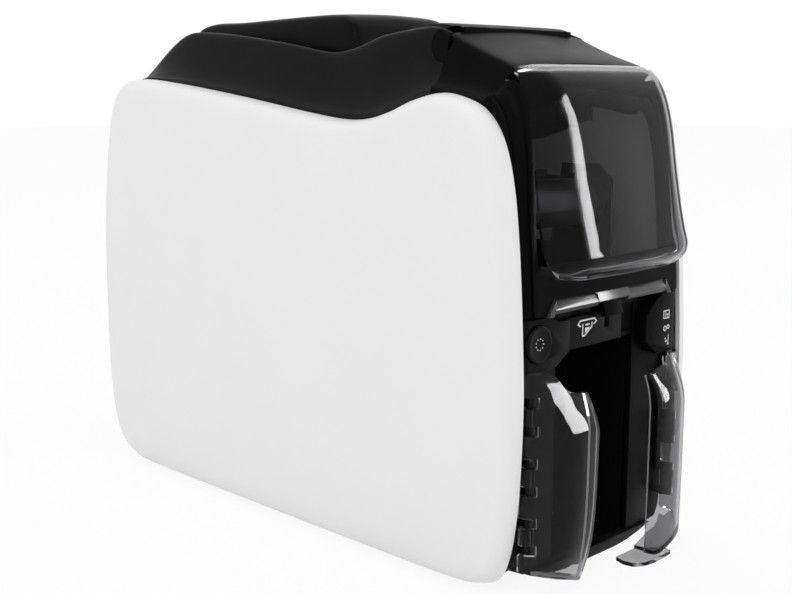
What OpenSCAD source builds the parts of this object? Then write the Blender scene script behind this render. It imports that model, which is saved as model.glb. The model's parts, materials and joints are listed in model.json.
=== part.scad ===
// Card printer with a hinged front cover, a hinged hopper lid and two clear output doors.
// X runs across the printer, Y from front (negative) to rear, Z up. Origin: middle of the footprint.

/* [Overall] */
// Width over the two side panels
body_w = 148; // [146:1:150]
// Depth from the front of the window to the rear of the panels
body_d = 348; // [346:1:350]
// Height of the top of the hopper lid
body_h = 271; // [269:1:272]
// Depth of a side panel from its rim to its flat face
panel_depth = 11; // [9:1:12]
// Wall thickness of the moulded covers
wall = 2.5; // [2:0.5:3]

/* [Card path] */
// Height of the card path above the table
path_z = 110; // [109:1:111]
// Width of the card well in the hopper
well_w = 57; // [56:1:60]
// Length of the card well in the hopper
well_l = 89; // [88:1:92]
// Distance between neighbouring roller shafts
roller_pitch = 40; // [40:1:40]
// Radius of the drive rollers
roller_r = 6; // [5:0.5:6.5]
// Radius of the roller shafts
shaft_r = 3; // [2.5:0.5:3]

/* [Gears] */
// Gear module
gear_m = 1; // [1:1:1]
// Teeth on a roller gear
roller_teeth = 16; // [16:1:16]
// Teeth on an idler gear
idler_teeth = 24; // [24:1:24]
// Teeth on the motor pinion
pinion_teeth = 12; // [12:1:12]

/* [Front] */
// How far the window stands in front of the panels
nose = 18; // [17:1:19]
// Height of the seam under the cover
seam_z = 132; // [131:1:133]
// Half width of the output bay
bay_hw = 31; // [30:1:32]
// Radius of the power button
button_r = 8.6; // [8:0.2:9]

/* [Ribbon] */
// Radius of the wound ribbon on the supply spool
supply_r = 15; // [13:1:16]
// Radius of the wound ribbon on the take-up spool
takeup_r = 12; // [11:1:14]

/* [Hidden] */
$fn = 48;

front_y = -body_d / 2;
rear_y = body_d / 2;
panel_y = front_y + nose;
half_w = body_w / 2;
core_hw = half_w - panel_depth;
fit = 0.4;

// Colours
white = [0.93, 0.93, 0.94];
black = [0.09, 0.09, 0.1];
dark = [0.16, 0.16, 0.17];
grey = [0.5, 0.5, 0.52];
steel = [0.7, 0.71, 0.73];
smoke = [0.35, 0.36, 0.38, 0.45];
rubber = [0.13, 0.13, 0.13];
green = [0.1, 0.35, 0.2];

// Point on a smooth curve through p1 and p2, with p0 and p3 as neighbours
function smooth(p0, p1, p2, p3, t) = 0.5 * (2 * p1 + (p2 - p0) * t
    + (2 * p0 - 5 * p1 + 4 * p2 - p3) * t * t + (3 * p1 - p0 - 3 * p2 + p3) * t * t * t);

// Closed smooth curve through the points, with a number of steps between neighbours
function closed_curve(pts, steps) = let (n = len(pts))
    [for (i = [0:n - 1], k = [0:steps - 1])
        smooth(pts[(i + n - 1) % n], pts[i], pts[(i + 1) % n], pts[(i + 2) % n], k / steps)];

// Open smooth curve through the points, ends included
function open_curve(pts, steps) = let (n = len(pts))
    concat([for (i = [0:n - 2], k = [0:steps - 1])
        smooth(pts[max(i - 1, 0)], pts[i], pts[i + 1], pts[min(i + 2, n - 1)], k / steps)],
        [pts[n - 1]]);

// Sum of a list of numbers
function total(v) = v * [for (x = v) 1];

// Unit vector
function unit(v) = v / max(norm(v), 0.0001);

// Outward normals of a closed curve that runs anticlockwise
function closed_normals(c) = let (n = len(c))
    [for (i = [0:n - 1]) let (t = unit(c[(i + 1) % n] - c[(i + n - 1) % n])) [t[1], -t[0]]];

// Normals of an open curve, on its left side
function open_normals(c) = let (n = len(c))
    [for (i = [0:n - 1]) let (t = unit(c[min(i + 1, n - 1)] - c[max(i - 1, 0)])) [-t[1], t[0]]];

// Solid between an outer and an inner skin, each a list of rows of points
module skin_solid(outer, inner, flip = false) {
    rows = len(outer);
    cols = len(outer[0]);
    n = rows * cols;
    points = concat([for (r = outer, p = r) p], [for (r = inner, p = r) p]);
    function quad(a, b, c, d) = [[a, b, c], [a, c, d]];
    sides = [
        for (r = [0:rows - 2], c = [0:cols - 2]) let (i = r * cols + c)
            each quad(i, i + 1, i + cols + 1, i + cols),
        for (r = [0:rows - 2], c = [0:cols - 2]) let (i = n + r * cols + c)
            each quad(i, i + cols, i + cols + 1, i + 1),
        for (c = [0:cols - 2]) each quad(c + 1, c, n + c, n + c + 1),
        for (c = [0:cols - 2]) let (i = (rows - 1) * cols + c) each quad(i, i + 1, n + i + 1, n + i),
        for (r = [0:rows - 2]) let (i = r * cols) each quad(i, i + cols, n + i + cols, n + i),
        for (r = [0:rows - 2]) let (i = r * cols + cols - 1)
            each quad(i + cols, i, n + i, n + i + cols)];
    polyhedron(points, [for (f = sides) flip ? [f[2], f[1], f[0]] : f]);
}

// Solid whose skin runs through closed rings of points, closed by a fan at both ends
module ring_solid(rings, flip = false) {
    m = len(rings);
    n = len(rings[0]);
    middle = [for (r = [rings[0], rings[m - 1]]) [for (k = [0:2]) total([for (p = r) p[k]]) / n]];
    sides = [for (r = [0:m - 2], c = [0:n - 1]) let (a = r * n + c, b = r * n + (c + 1) % n)
        each [[a, b, b + n], [a, b + n, a + n]]];
    ends = [for (c = [0:n - 1]) let (d = (c + 1) % n, e = (m - 1) * n)
        each [[d, c, m * n], [e + c, e + d, m * n + 1]]];
    faces = concat(sides, ends);
    polyhedron(concat([for (r = rings, p = r) p], middle),
        [for (f = faces) flip ? [f[2], f[1], f[0]] : f]);
}

// Bar along X, centred on y and z
module x_rod(r, x0, x1, y, z) {
    translate([x0, y, z]) rotate([0, 90, 0]) cylinder(r = r, h = x1 - x0);
}

// Ring along X with a bore
module x_tube(r, bore, x0, x1, y, z) {
    difference() {
        x_rod(r, x0, x1, y, z);
        x_rod(bore, x0 - 1, x1 + 1, y, z);
    }
}

// Plate in the YZ plane between x0 and x1
module x_plate(x0, x1) {
    translate([x0, 0, 0]) rotate([90, 0, 90]) linear_extrude(x1 - x0) children();
}

// Plate in the XZ plane between y0 and y1
module y_plate(y0, y1) {
    translate([0, y1, 0]) rotate([90, 0, 0]) linear_extrude(y1 - y0) children();
}

// Box from its lowest to its highest corner
module block(lo, hi) {
    translate(lo) cube(hi - lo);
}

// Mirror a shape to the other side of the printer
module both_sides() {
    children();
    mirror([1, 0, 0]) children();
}

// Side panels: outline of the rim in Y and Z, anticlockwise from the lower front corner
panel_bottom = 2.5;
panel_rim = [
    [panel_y + 12, 10], [panel_y + 22, 5], [panel_y + 40, panel_bottom], [-60, 2], [40, 2],
    [rear_y - 44, panel_bottom], [rear_y - 24, 5], [rear_y - 12, 13], [rear_y - 5, 28],
    [rear_y - 1.5, 47], [rear_y, 68], [rear_y, 102], [rear_y - 1, 142], [rear_y - 4, 172],
    [rear_y - 8.5, 199], [rear_y - 15, 221], [rear_y - 25, 233.5], [rear_y - 41, 237],
    [rear_y - 80, 234], [40, 227.5], [-14, 220], [panel_y + 114, 217], [panel_y + 96, 218],
    [panel_y + 80, 222], [panel_y + 66, 227], [panel_y + 51, 230], [panel_y + 38, 228.5],
    [panel_y + 24, 223], [panel_y + 14, 211], [panel_y + 8, 192], [panel_y + 4.5, 166],
    [panel_y + 2, 132], [panel_y + 0.5, 95], [panel_y + 1.5, 60], [panel_y + 3.5, 38],
    [panel_y + 6.5, 22]];
rim_curve = closed_curve(panel_rim, 2);
rim_normals = closed_normals(rim_curve);

// How much deeper the edge rounding is where the rim faces down
function under(n) = 1 + 0.8 * pow(max(0, -n[1]), 2);

// The rim curve moved inwards, at a distance x from the middle plane
function panel_ring(x, inset) = [for (i = [0:len(rim_curve) - 1])
    let (p = rim_curve[i] - rim_normals[i] * inset * under(rim_normals[i])) [x, p[0], p[1]]];

// Depth and inset of the outer and inner skin of a panel, from the flat face to the rim
outer_steps = [[1, 12], [0.94, 7.2], [0.8, 3.8], [0.55, 1.4], [0.25, 0.3], [0, 0]];
inner_steps = [[0, 2.4], [0.3, 2.8], [0.56, 4.4], [0.72, 7.8], [0.77, 12.5]];
panel_bosses = [[-96, 26], [110, 26], [-20, 196], [104, 208]];

module side_panel() {
    rings = concat([for (s = outer_steps) panel_ring(core_hw + s[0] * panel_depth, s[1])],
        [for (s = inner_steps) panel_ring(core_hw + s[0] * panel_depth, s[1])]);
    ring_solid(rings);
    for (b = panel_bosses) x_rod(5, core_hw, core_hw + 0.8 * panel_depth, b[0], b[1]);
}

module left_side_panel() {
    color(white) mirror([1, 0, 0]) side_panel();
}

module right_side_panel() {
    color(white) side_panel();
}

// Height of the panel edge, the wall rim and the deck of the black body along Y
panel_top = [[-97, 229], [-90, 227], [-76, 222], [-60, 218], [-42, 216.8], [-14, 219.8],
    [40, 227.3], [94, 233.8], [133, 236.8], [149, 233.6], [156, 228]];
rim_top = open_curve([[-97, 257.8], [-91, 259.7], [-84, 260.4], [-70, 259.3], [-52, 257], [-36, 252.5],
    [-20, 250], [-6, 251.2], [14, 254.5], [40, 258], [70, 261.5], [96, 263.2], [108, 262.3],
    [119, 258], [130, 251.5], [141, 244], [154.6, 235]], 2);
deck_z = [[-97, 260], [-91, 261.7], [-84, 262.3], [-70, 260.8], [-56, 256.6], [-46, 250.5], [-36, 245.5],
    [-20, 244.2], [-6, 245], [14, 247.5], [40, 250.4], [70, 253.4], [96, 255.2], [108, 255.2],
    [119, 252.6], [130, 248.5], [141, 242.5], [155, 234.2]];
flare = [[0, core_hw - fit], [0.12, core_hw - 4], [0.3, core_hw - 7.4], [0.55, core_hw - 9.8],
    [0.82, core_hw - 11.2], [0.96, core_hw - 12.6], [1, core_hw - 14.6]];
skirt = 14;

// Outer half section of the body at y: up the flared wall, over the rim and across the deck
function body_half(y, top) = let (p = lookup(y, panel_top), d = lookup(y, deck_z))
    concat([[core_hw - fit, p - skirt]], [for (f = flare) [f[1], p + f[0] * (top - p)]],
        [[core_hw - 16.5, min(top - 0.8, d + 8)], [core_hw - 18, d + 0.8 * min(3, top - d)],
        [core_hw - 21, d], [22, d + 0.2], [0, d + 0.3]]);

// The same section moved inwards by the wall
function body_inner(y, top) = let (c = body_half(y, top), n = open_normals(c))
    [for (i = [0:len(c) - 1]) i == 0 ? c[i] - [wall, 0] : i == len(c) - 1 ? c[i] - [0, wall]
        : c[i] + n[i] * wall];

function mirrored_row(y, half) = concat([for (p = half) [p[0], y, p[1]]],
    [for (i = [len(half) - 2:-1:0]) [-half[i][0], y, half[i][1]]]);

lid_axis = [118.2, 257];
cover_axis = [-97, 252.5];
cover_pin_r = 2;
cover_barrel_r = 5;
cover_relief_r = 8.6;
well_y0 = 8;
well_y1 = well_y0 + well_l;
well_wall = 2;

// Arm that carries one hinge pin of the cover from below, so that the cover's edge can roll past
hinge_arm_x = [41, 45];
lid_pin_r = 1.5;
lid_ear_x = [35, 38.6];

module hinge_arm() {
    difference() {
        union() {
            x_plate(hinge_arm_x[0], hinge_arm_x[1]) polygon([[-97, cover_axis[1] - 3.4],
                [-86, 246.5], [-79, 249], [-79, 261], [-84, 261], [-86.5, 253],
                [-97, cover_axis[1]]]);
            x_rod(3.4, hinge_arm_x[0], hinge_arm_x[1], cover_axis[0], cover_axis[1]);
        }
        x_rod(cover_pin_r, 30, 60, cover_axis[0], cover_axis[1]);
    }
}

// Ear on the deck that carries one hinge pin of the lid
module lid_ear() {
    difference() {
        union() {
            block([lid_ear_x[0], lid_axis[0] - 2.4, 251.4],
                [lid_ear_x[1], lid_axis[0] + 2.4, lid_axis[1]]);
            x_rod(2.4, lid_ear_x[0], lid_ear_x[1], lid_axis[0], lid_axis[1]);
        }
        x_rod(lid_pin_r, 27, 45, lid_axis[0], lid_axis[1]);
    }
}

module hopper_housing() {
    color(black) both_sides() {
        hinge_arm();
        lid_ear();
    }
    color(black) difference() {
        skin_solid([for (s = rim_top) mirrored_row(s[0], body_half(s[0], s[1]))],
            [for (s = rim_top) mirrored_row(s[0], body_inner(s[0], s[1]))]);
        block([-well_w / 2 - well_wall, well_y0 - well_wall, 230],
            [well_w / 2 + well_wall, well_y1 + well_wall, 265]);
        x_rod(cover_relief_r, -70, 70, cover_axis[0], cover_axis[1]);
    }
}

// Card well: its floor lies just under the card path, open for the pick roller
module hopper_well() {
    floor_z = path_z - 0.4;
    lip = 0.6;
    y0 = well_y0 - well_wall;
    y1 = well_y1 + well_wall;
    color(dark) {
        difference() {
            x_plate(-well_w / 2 - well_wall, well_w / 2 + well_wall) polygon(concat(
                [[y1, floor_z - well_wall], [y1, lookup(y1, deck_z) + lip]],
                [for (y = [70, 40, 14]) [y, lookup(y, deck_z) + lip]],
                [[y0, lookup(y0, deck_z) + lip], [y0, floor_z - well_wall]]));
            block([-well_w / 2, well_y0, floor_z], [well_w / 2, well_y1, body_h]);
            block([-26, 11, floor_z - 5], [26, 29, floor_z + 1]);
            block([-well_w / 2, well_y0 - 5, floor_z], [well_w / 2, well_y0 + 1, floor_z + 2]);
        }
        both_sides() block([well_w / 2 + well_wall, 12, path_z + 3.2], [plate_x, 20, path_z + 6.2]);
        block([-6, 78, 8], [6, 94, floor_z - well_wall]);
    }
}

// Cover: shoulder line in Y and Z, from the hinge at the rear to the seam at the front,
// with the depth of the side wall below it and the half width of its shoulder
cover_line = [
    [-98, 257, 26, 0], [-107, 253, 23.4, 0], [-118, 248.6, 20.4, 0], [-129, 244.8, 18.6, 0.1],
    [-137, 241.6, 17.4, 0.25], [-142.4, 237.4, 14.6, 0.4], [-146.2, 230, 11.4, 0.5],
    [-148.8, 220.5, 8.6, 0.65], [-150.8, 207, 6.8, 0.8], [-152.4, 190, 5.8, 0.9],
    [-153.6, 172, 5.2, 1], [-154.8, 156, 5, 1], [-155.8, 143, 4.8, 1],
    [-156.4, seam_z + 0.6, 4.6, 1]];
cover_curve = open_curve(cover_line, 2);
cover_flange = 9;
shoulder_grow = 6.5;

function cover_normal(i) = let (n = len(cover_curve), a = cover_curve[max(i - 1, 0)],
    b = cover_curve[min(i + 1, n - 1)], t = unit([b[0] - a[0], b[1] - a[1]])) [t[1], -t[0]];

// Half section of the cover: across position and height over the shoulder line
function cover_half(side, square) = concat([[core_hw - fit, -side - cover_flange]],
    [for (f = flare) [f[1] + square * shoulder_grow * f[0] * (f[0] < 0.99 ? 1 : 0.6),
        side * (f[0] - 1)]],
    [[44, 0.5], [30, 1.3], [14, 1.8], [0, 2]]);

// The inner section runs straight behind the tight corner of the shoulder
corner_from = 4;
corner_to = 7;

function cover_section(side, square, inside) = let (c = cover_half(side, square),
    n = open_normals(c), q = [for (i = [0:len(c) - 1]) i == 0 ? c[i] - [wall, 0]
        : i == len(c) - 1 ? c[i] - [0, wall] : c[i] + n[i] * wall])
    !inside ? c : [for (i = [0:len(c) - 1]) i > corner_from && i < corner_to
        ? q[corner_from] + (q[corner_to] - q[corner_from]) * (i - corner_from)
            / (corner_to - corner_from) : q[i]];

// Direction in Y and Z in which the flange leaves the edge of the side wall
flange_angle = [[130, -6], [190, -6], [207, -8], [220.5, -12], [230, -50], [237.4, -53],
    [241.6, -56], [244.8, -68], [248.6, -70], [257, -66]];

function cover_row(i, inside) = let (s = cover_curve[i], n = cover_normal(i),
    c = cover_section(s[2], s[3], inside), a = lookup(s[1], flange_angle),
    edge = [s[0] - n[0] * s[2], s[1] - n[1] * s[2]] + cover_flange * [cos(a), sin(a)],
    half = [for (k = [0:len(c) - 1]) k == 0 ? [c[0][0], edge[0], edge[1]]
        : [c[k][0], s[0] + n[0] * c[k][1], s[1] + n[1] * c[k][1]]])
    concat(half, [for (k = [len(half) - 2:-1:0]) [-half[k][0], half[k][1], half[k][2]]]);

window_hw = 53.6;
window_bottom_z = 154;
notch = [[-52, seam_z - 3], [-45, seam_z + 7.2], [45, seam_z + 7.2], [52, seam_z - 3]];

// Side view of the hole for the window, which reaches well behind the base line
window_hole = [[-190, window_bottom_z], [-146, window_bottom_z], [-144, 180], [-140, 214],
    [-135.4, 230], [-134.4, 236], [-138, 239.6], [-138, 245], [-190, 245]];

module cover_shell() {
    rows = [0:len(cover_curve) - 1];
    color(black) {
        difference() {
            skin_solid([for (i = rows) cover_row(i, false)], [for (i = rows) cover_row(i, true)],
                flip = true);
            x_plate(-window_hw - 0.4, window_hw + 0.4) polygon(window_hole);
            y_plate(-190, -140) polygon(notch);
            x_rod(cover_barrel_r - 1.2, -70, 70, cover_axis[0], cover_axis[1]);
            block([-70, cover_axis[0] - 0.5, 200], [70, -60, cover_axis[1] - 2.4]);
        }
        difference() {
            x_tube(cover_barrel_r, cover_barrel_r - 1.6, -36, 36, cover_axis[0], cover_axis[1]);
            block([-60, -110, 225], [60, -80, cover_axis[1] - 1]);
        }
        both_sides() x_tube(cover_barrel_r - 0.4, cover_pin_r + 0.05, 36, 40, cover_axis[0],
            cover_axis[1]);
    }
}

// Window: base line on the cover and front line, both in Y and Z from the top downwards,
// and the half width at the base. The last two rows close it underneath.
window_base = [[-138.6, 241], [-141, 238.6], [-144.4, 232], [-147.6, 221], [-150.4, 207],
    [-152.6, 192], [-154.6, 176], [-156.4, 165], [-158.6, 158], [-160.4, 152.6],
    [-160.6, 149.4], [-157.4, 148.8]];
window_front = [[-139.8, 242.6], [-146.6, 240.6], [-152.6, 235], [-157.5, 226],
    [-161.2, 212], [-164.4, 194], [-168, 177], [-171, 165], [-172.8, 158.5], [-171.2, 152.6],
    [-165, 147.6], [-158.6, 147]];
window_half = [0, 0, 0, 0, 0, 0.4, 0.8, 1, 1.2, 2.4, 7, 8];
window_wall = 2.2;
window_steps = [[1, 0], [0.955, 0.2], [0.89, 0.5], [0.82, 0.78], [0.76, 0.93], [0.69, 1],
    [0.46, 1.05], [0.22, 1.08], [0, 1.1]];

function window_row(i, inside) = let (n = len(window_base), b = window_base[i],
    f = window_front[i], t = unit(window_front[min(i + 1, n - 1)] - window_front[max(i - 1, 0)]),
    inward = inside ? window_wall * [-t[1], t[0]] : [0, 0],
    half = [for (s = window_steps) let (p = b + s[1] * (f - b) + inward)
        [s[0] * (window_hw - window_half[i] - (inside ? 1.1 : 0)), p[0], p[1]]])
    concat(half, [for (k = [len(half) - 2:-1:0]) [-half[k][0], half[k][1], half[k][2]]]);

module cover_window() {
    rows = [0:len(window_base) - 1];
    color(smoke) skin_solid([for (i = rows) window_row(i, false)],
        [for (i = rows) window_row(i, true)], flip = true);
}

latch_axis = [-153.6, 137];

// Grey grip in the notch under the window: a bevelled bar on both sides of the release lever,
// a bridge in front of the lever and slanted ends, with the pin of the lever behind
grip_top = seam_z + 6.9;
grip_hw = 44.6;

module cover_grip() {
    color(grey) {
        both_sides() x_plate(12, grip_hw) polygon([[-149, grip_top], [-155.6, grip_top],
            [-158.4, grip_top - 4.2], [-157.4, grip_top - 6.2], [-154, grip_top - 6.2],
            [-151, grip_top - 5], [-149, grip_top - 4.8]]);
        both_sides() y_plate(-158, -154.4) polygon([[grip_hw - 0.4, grip_top],
            [grip_hw + 4.6, seam_z - 0.3], [grip_hw + 1, seam_z - 0.3],
            [grip_hw - 0.4, grip_top - 4.4]]);
        x_plate(-12.5, 12.5) polygon([[-156.8, grip_top], [-157.2, grip_top],
            [-158.6, grip_top - 4.2], [-158, grip_top - 4.8], [-157.1, grip_top - 4.8]]);
        both_sides() block([10, -156.9, latch_axis[1] - 2.6], [13, -151, grip_top]);
        x_rod(1.5, -10, 10, latch_axis[0], latch_axis[1]);
    }
}

module cover_hinge_pins() {
    color(steel) both_sides()
        x_rod(cover_pin_r, 35, hinge_arm_x[1], cover_axis[0], cover_axis[1]);
}

// Release lever: its tab hangs under the grip and its hook reaches behind the bezel
module cover_latch() {
    color(grey) difference() {
        union() {
            x_rod(2.5, -9, 9, latch_axis[0], latch_axis[1]);
            x_plate(-7, 7) polygon([[-158.6, 127], [-157, 126.4], [-155.4, 127.4], [-155, 134],
                [-151.4, 134.4], [-151.4, 137], [-155.4, 137], [-157.2, 132.4]]);
            x_plate(-4, 4) polygon([[-153, 134.6], [-141.6, 133.2], [-141.6, 128.8],
                [-143.4, 127.6], [-143.6, 131.6], [-153, 132.4]]);
        }
        x_rod(1.56, -10, 10, latch_axis[0], latch_axis[1]);
    }
}

// Hopper lid: height of its top along Y, from the foot of its hollow front slope to the hinge
lid_top = [[-31, 247.9], [-27.6, 249.4], [-24.4, 252.4], [-21.6, 257], [-19.4, 262.2], [-17.8, 265],
    [-14.6, 268.4], [-9, 270.4], [2, body_h], [14, body_h], [45, body_h - 0.8],
    [78, body_h - 1.8], [98, body_h - 1.6], [110, 268.2], [117, 265.2], [120.3, 261]];
lid_hw = 37;
lid_wall = 2;
lid_under = 0.8;
lid_steps = [[1, 0], [0.992, 0.53], [0.965, 0.81], [0.91, 0.925], [0.8, 0.962], [0.5, 0.985],
    [0, 1]];

// Lower edge of the lid: just above the deck, and level at the hinge
function lid_base(y) = max(lookup(y, deck_z) + lid_under, y > 109 ? lid_axis[1] - 1.2 : 0);

function lid_row(s, inside) = let (b = lid_base(s[0]),
    h = s[1] - b, w = inside ? lid_wall : 0,
    half = [for (q = lid_steps) [q[0] * (lid_hw - w), s[0], b + max(0, q[1] * (h - w))]])
    concat(half, [for (k = [len(half) - 2:-1:0]) [-half[k][0], half[k][1], half[k][2]]]);

module hopper_lid() {
    color(black) {
        difference() {
            skin_solid([for (s = lid_top) lid_row(s, false)], [for (s = lid_top) lid_row(s, true)]);
            both_sides() block([34.6, 112, 240], [70, 130, lid_axis[1] + 3.4]);
        }
        both_sides() difference() {
            union() {
                x_rod(3, 28, 34, lid_axis[0], lid_axis[1]);
                block([28, lid_axis[0] - 2.6, lid_axis[1]], [34, lid_axis[0] + 1.4, 262]);
            }
            x_rod(1.55, 27, 35, lid_axis[0], lid_axis[1]);
        }
    }
}

module hopper_lid_pins() {
    color(steel) both_sides()
        x_rod(lid_pin_r, 28, lid_ear_x[1], lid_axis[0], lid_axis[1]);
}

// Weight that keeps the cards down on the pick roller
module card_weight() {
    floor_z = path_z + 0.3;
    color(grey) {
        block([-27, well_y0 + 3, floor_z], [27, well_y1 - 3, floor_z + 6]);
        difference() {
            block([-10, well_y0 + 34, floor_z + 6], [10, well_y0 + 54, floor_z + 26]);
            block([-6, well_y0 + 30, floor_z + 9], [6, well_y0 + 58, floor_z + 22]);
        }
    }
}

// Output doors: plan of the outer skin from the hinge to the free edge and round its side wall,
// with the top and bottom of each column
door_hinge = [-58.4, -154.8];
door_plan = [[-61.8, -152.2, 107, 15], [-61.4, -155.4, 107, 15], [-58.8, -159.8, 107, 14],
    [-54, -164.6, 107, 12.6], [-49.6, -168, 106.6, 11.2], [-46.2, -169.8, 105, 10],
    [-42.4, -171, 100.4, 8.8], [-38, -171.7, 97, 7.4], [-32.4, -171.7, 95.8, 5.4],
    [-27.8, -171.2, 95, 3.8], [-25.4, -169.8, 94.4, 3], [-24.5, -167.4, 94, 2.8],
    [-24.2, -164, 93.6, 2.6]];
door_levels = [0, 0.05, 0.13, 0.26, 0.42, 0.6, 0.74, 0.82, 0.89, 0.95, 1];
// How far the skin stands out at each height: the left door falls back above and below, and the
// right one, which is lower, only above
door_lean = [[2, 0.44], [6, 0.53], [12, 0.65], [20, 0.79], [32, 0.91], [50, 0.98], [79, 1],
    [86, 0.87], [92, 0.66], [98, 0.46], [107, 0.38]];
right_lean = [[2, 0.96], [6, 0.97], [20, 0.98], [50, 1.02], [79, 1.03], [86, 0.92], [92, 0.72],
    [97, 0.5], [101, 0.42]];
door_top = 107;
right_top = 101;
door_wall = 2;
door_fold_y = -153.6;
door_floor_y = -157.4;

function door_outer(l, lean, top) = [for (p = door_plan)
    let (z = p[3] + l * (min(p[2], top) - p[3]))
    [p[0], p[1] < door_fold_y ? door_fold_y + (p[1] - door_fold_y) * lookup(z, lean) : p[1], z]];

function door_row(l, inside, lean, top) = let (c = door_outer(l, lean, top),
    n = open_normals([for (p = c) [p[0], p[1]]]))
    [for (i = [0:len(c) - 1]) inside ? c[i] + [n[i][0], n[i][1], 0] * door_wall : c[i]];

// Floor of the door, from its lower edge back to the bezel
function door_floor(rise, lean, top) = let (c = door_outer(0, lean, top))
    [for (back = [false, true]) [for (i = [2:len(c) - 3])
        [c[i][0] * 0.99, back ? door_floor_y : c[i][1] + 0.7, c[i][2] + 0.3 + rise]]];

door_knuckles = [28, 56, 84];

module output_door(lean, top) {
    color(smoke) difference() {
        union() {
            skin_solid([for (l = door_levels) door_row(l, false, lean, top)],
                [for (l = door_levels) door_row(l, true, lean, top)], flip = true);
            skin_solid(door_floor(1.8, lean, top), door_floor(0, lean, top), flip = true);
            for (z = door_knuckles) translate([door_hinge[0], door_hinge[1], z])
                cylinder(r = 3.2, h = 8);
            for (z = door_knuckles) block([door_hinge[0] - 1.6, door_hinge[1] - 3.8, z],
                [door_hinge[0] + 2.6, door_hinge[1], z + 8]);
        }
        for (z = door_knuckles) translate([door_hinge[0], door_hinge[1], z]) {
            translate([0, 0, -1]) cylinder(r = 1.56, h = 10);
            translate([0, 0, -4.8]) cylinder(r = 4.6, h = 4.7);
            translate([0, 0, 8.1]) cylinder(r = 4.6, h = 4.7);
        }
    }
}

module left_output_door() {
    output_door(door_lean, door_top);
}

// The right door ends under the status panel and has a lip at its foot
module right_output_door() {
    color(smoke) {
        difference() {
            mirror([1, 0, 0]) output_door(right_lean, right_top);
            block([52, -166, 100], [66, -148, 112]);
        }
        translate([0, 0, 1.4]) linear_extrude(2) polygon([[9.5, -157.4], [7.6, -163], [8.6, -168],
            [13, -171.4], [20, -172.4], [28, -172.4], [36, -171.6], [37, -168], [30, -162],
            [28, -157.4]]);
    }
}

// Pins and ears that carry the doors on the bezel
module door_hinge_pins() {
    color(steel) both_sides() for (z = door_knuckles)
        translate([door_hinge[0], door_hinge[1], z - 4.4]) cylinder(r = 1.5, h = 16.8);
    color(black) both_sides() for (k = door_knuckles, z = [k - 4.4, k + 8.4])
        block([door_hinge[0] - 1.4, door_hinge[1] - 1.8, z], [door_hinge[0] + 2.4, -148, z + 4]);
}

// Front bezel: plate behind the doors and the control panels, open for the output bay
bezel_y = -152;
bezel_t = 4;
bezel_open_z = [9, 112];

// The power button slides along Y, centred on this point in X and Z
button_at = [-53, 120];

module button_rod(r, y0, y1) {
    translate([button_at[0], y1, button_at[1]]) rotate([90, 0, 0]) cylinder(r = r, h = y1 - y0);
}

module front_bezel() {
    color(black) difference() {
        y_plate(bezel_y + 4, bezel_y + 4 + bezel_t) polygon([[-62.4, 16], [-60, 13.4],
            [-52, 9.6], [-50, 9.2], [50, 9.2], [52, 9.6], [60, 13.4], [62.4, 16],
            [62.4, seam_z - 0.8], [-62.4, seam_z - 0.8]]);
        block([-bay_hw, -160, bezel_open_z[0]], [bay_hw, -130, bezel_open_z[1]]);
        block([17, -160, 114], [bay_hw, -146.5, 128]);
        block([-5, -160, 126.4], [5, -130, 140]);
        button_rod(5, -170, -130);
    }
}

// The outer corners of the two control panels are cut back towards the side panels
panel_front_y = -155;

module panel_corner() {
    translate([0, 0, 90]) linear_extrude(50) polygon([[60, -160], [64, -160], [64, -151],
        [62.4, -152.4], [60, -154.8]]);
}

module left_control_panel() {
    color(dark) difference() {
        y_plate(panel_front_y, bezel_y + 4) polygon([[-62.2, 108.5], [-61, 107.4], [-40, 107.4],
            [-29.8, 113.6], [-29.8, 127.8], [-37.6, 128.2], [-46, seam_z - 0.9],
            [-62.2, seam_z - 0.9]]);
        button_rod(button_r + 0.3, -160, -140);
        mirror([1, 0, 0]) panel_corner();
    }
}

// The status panel ends short of the side panel and slopes back towards it
module right_status_panel() {
    color(dark) difference() {
        y_plate(panel_front_y, bezel_y + 4) polygon([[62.2, 101.5], [61, 100.4], [43, 100.4],
            [33, 108], [33, 121.6], [41, 128.2], [46, seam_z - 0.9], [62.2, seam_z - 0.9]]);
        translate([0, 0, 90]) linear_extrude(50) polygon([[57.6, -160], [64, -160], [64, -149.4],
            [60, -149.8], [57.6, -155]]);
    }
}

module card_slot_plate() {
    color(dark) difference() {
        y_plate(-151.6, bezel_y + 4) polygon([[-29, 112.6], [16, 112.6], [16, 127.6],
            [-29, 127.6]]);
        block([2, -160, 119.4], [5.6, -148.5, 124.4]);
    }
}

module power_button() {
    color(black) {
        button_rod(button_r, -156.4, -150);
        button_rod(4.6, -150, -144.6);
    }
}

module button_board() {
    color(green) block([-61, -141, 109], [-45, -139.4, 131]);
    color(steel) block([-56, -143, 117], [-50, -141, 123]);
}

// Output bay: open towards the front, with a chamfered rear floor
module output_bay() {
    back_y = -106.4;
    color(dark) difference() {
        x_plate(-bay_hw - 1.6, bay_hw + 1.6) polygon([[-144, 5.6], [back_y, 5.6],
            [back_y, 107.6], [-144, 107.6]]);
        x_plate(-bay_hw, bay_hw) polygon([[-150, 8.6], [back_y - 12, 8.6],
            [back_y - 1.6, 22], [back_y - 1.6, 110], [-150, 110]]);
    }
}

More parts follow.
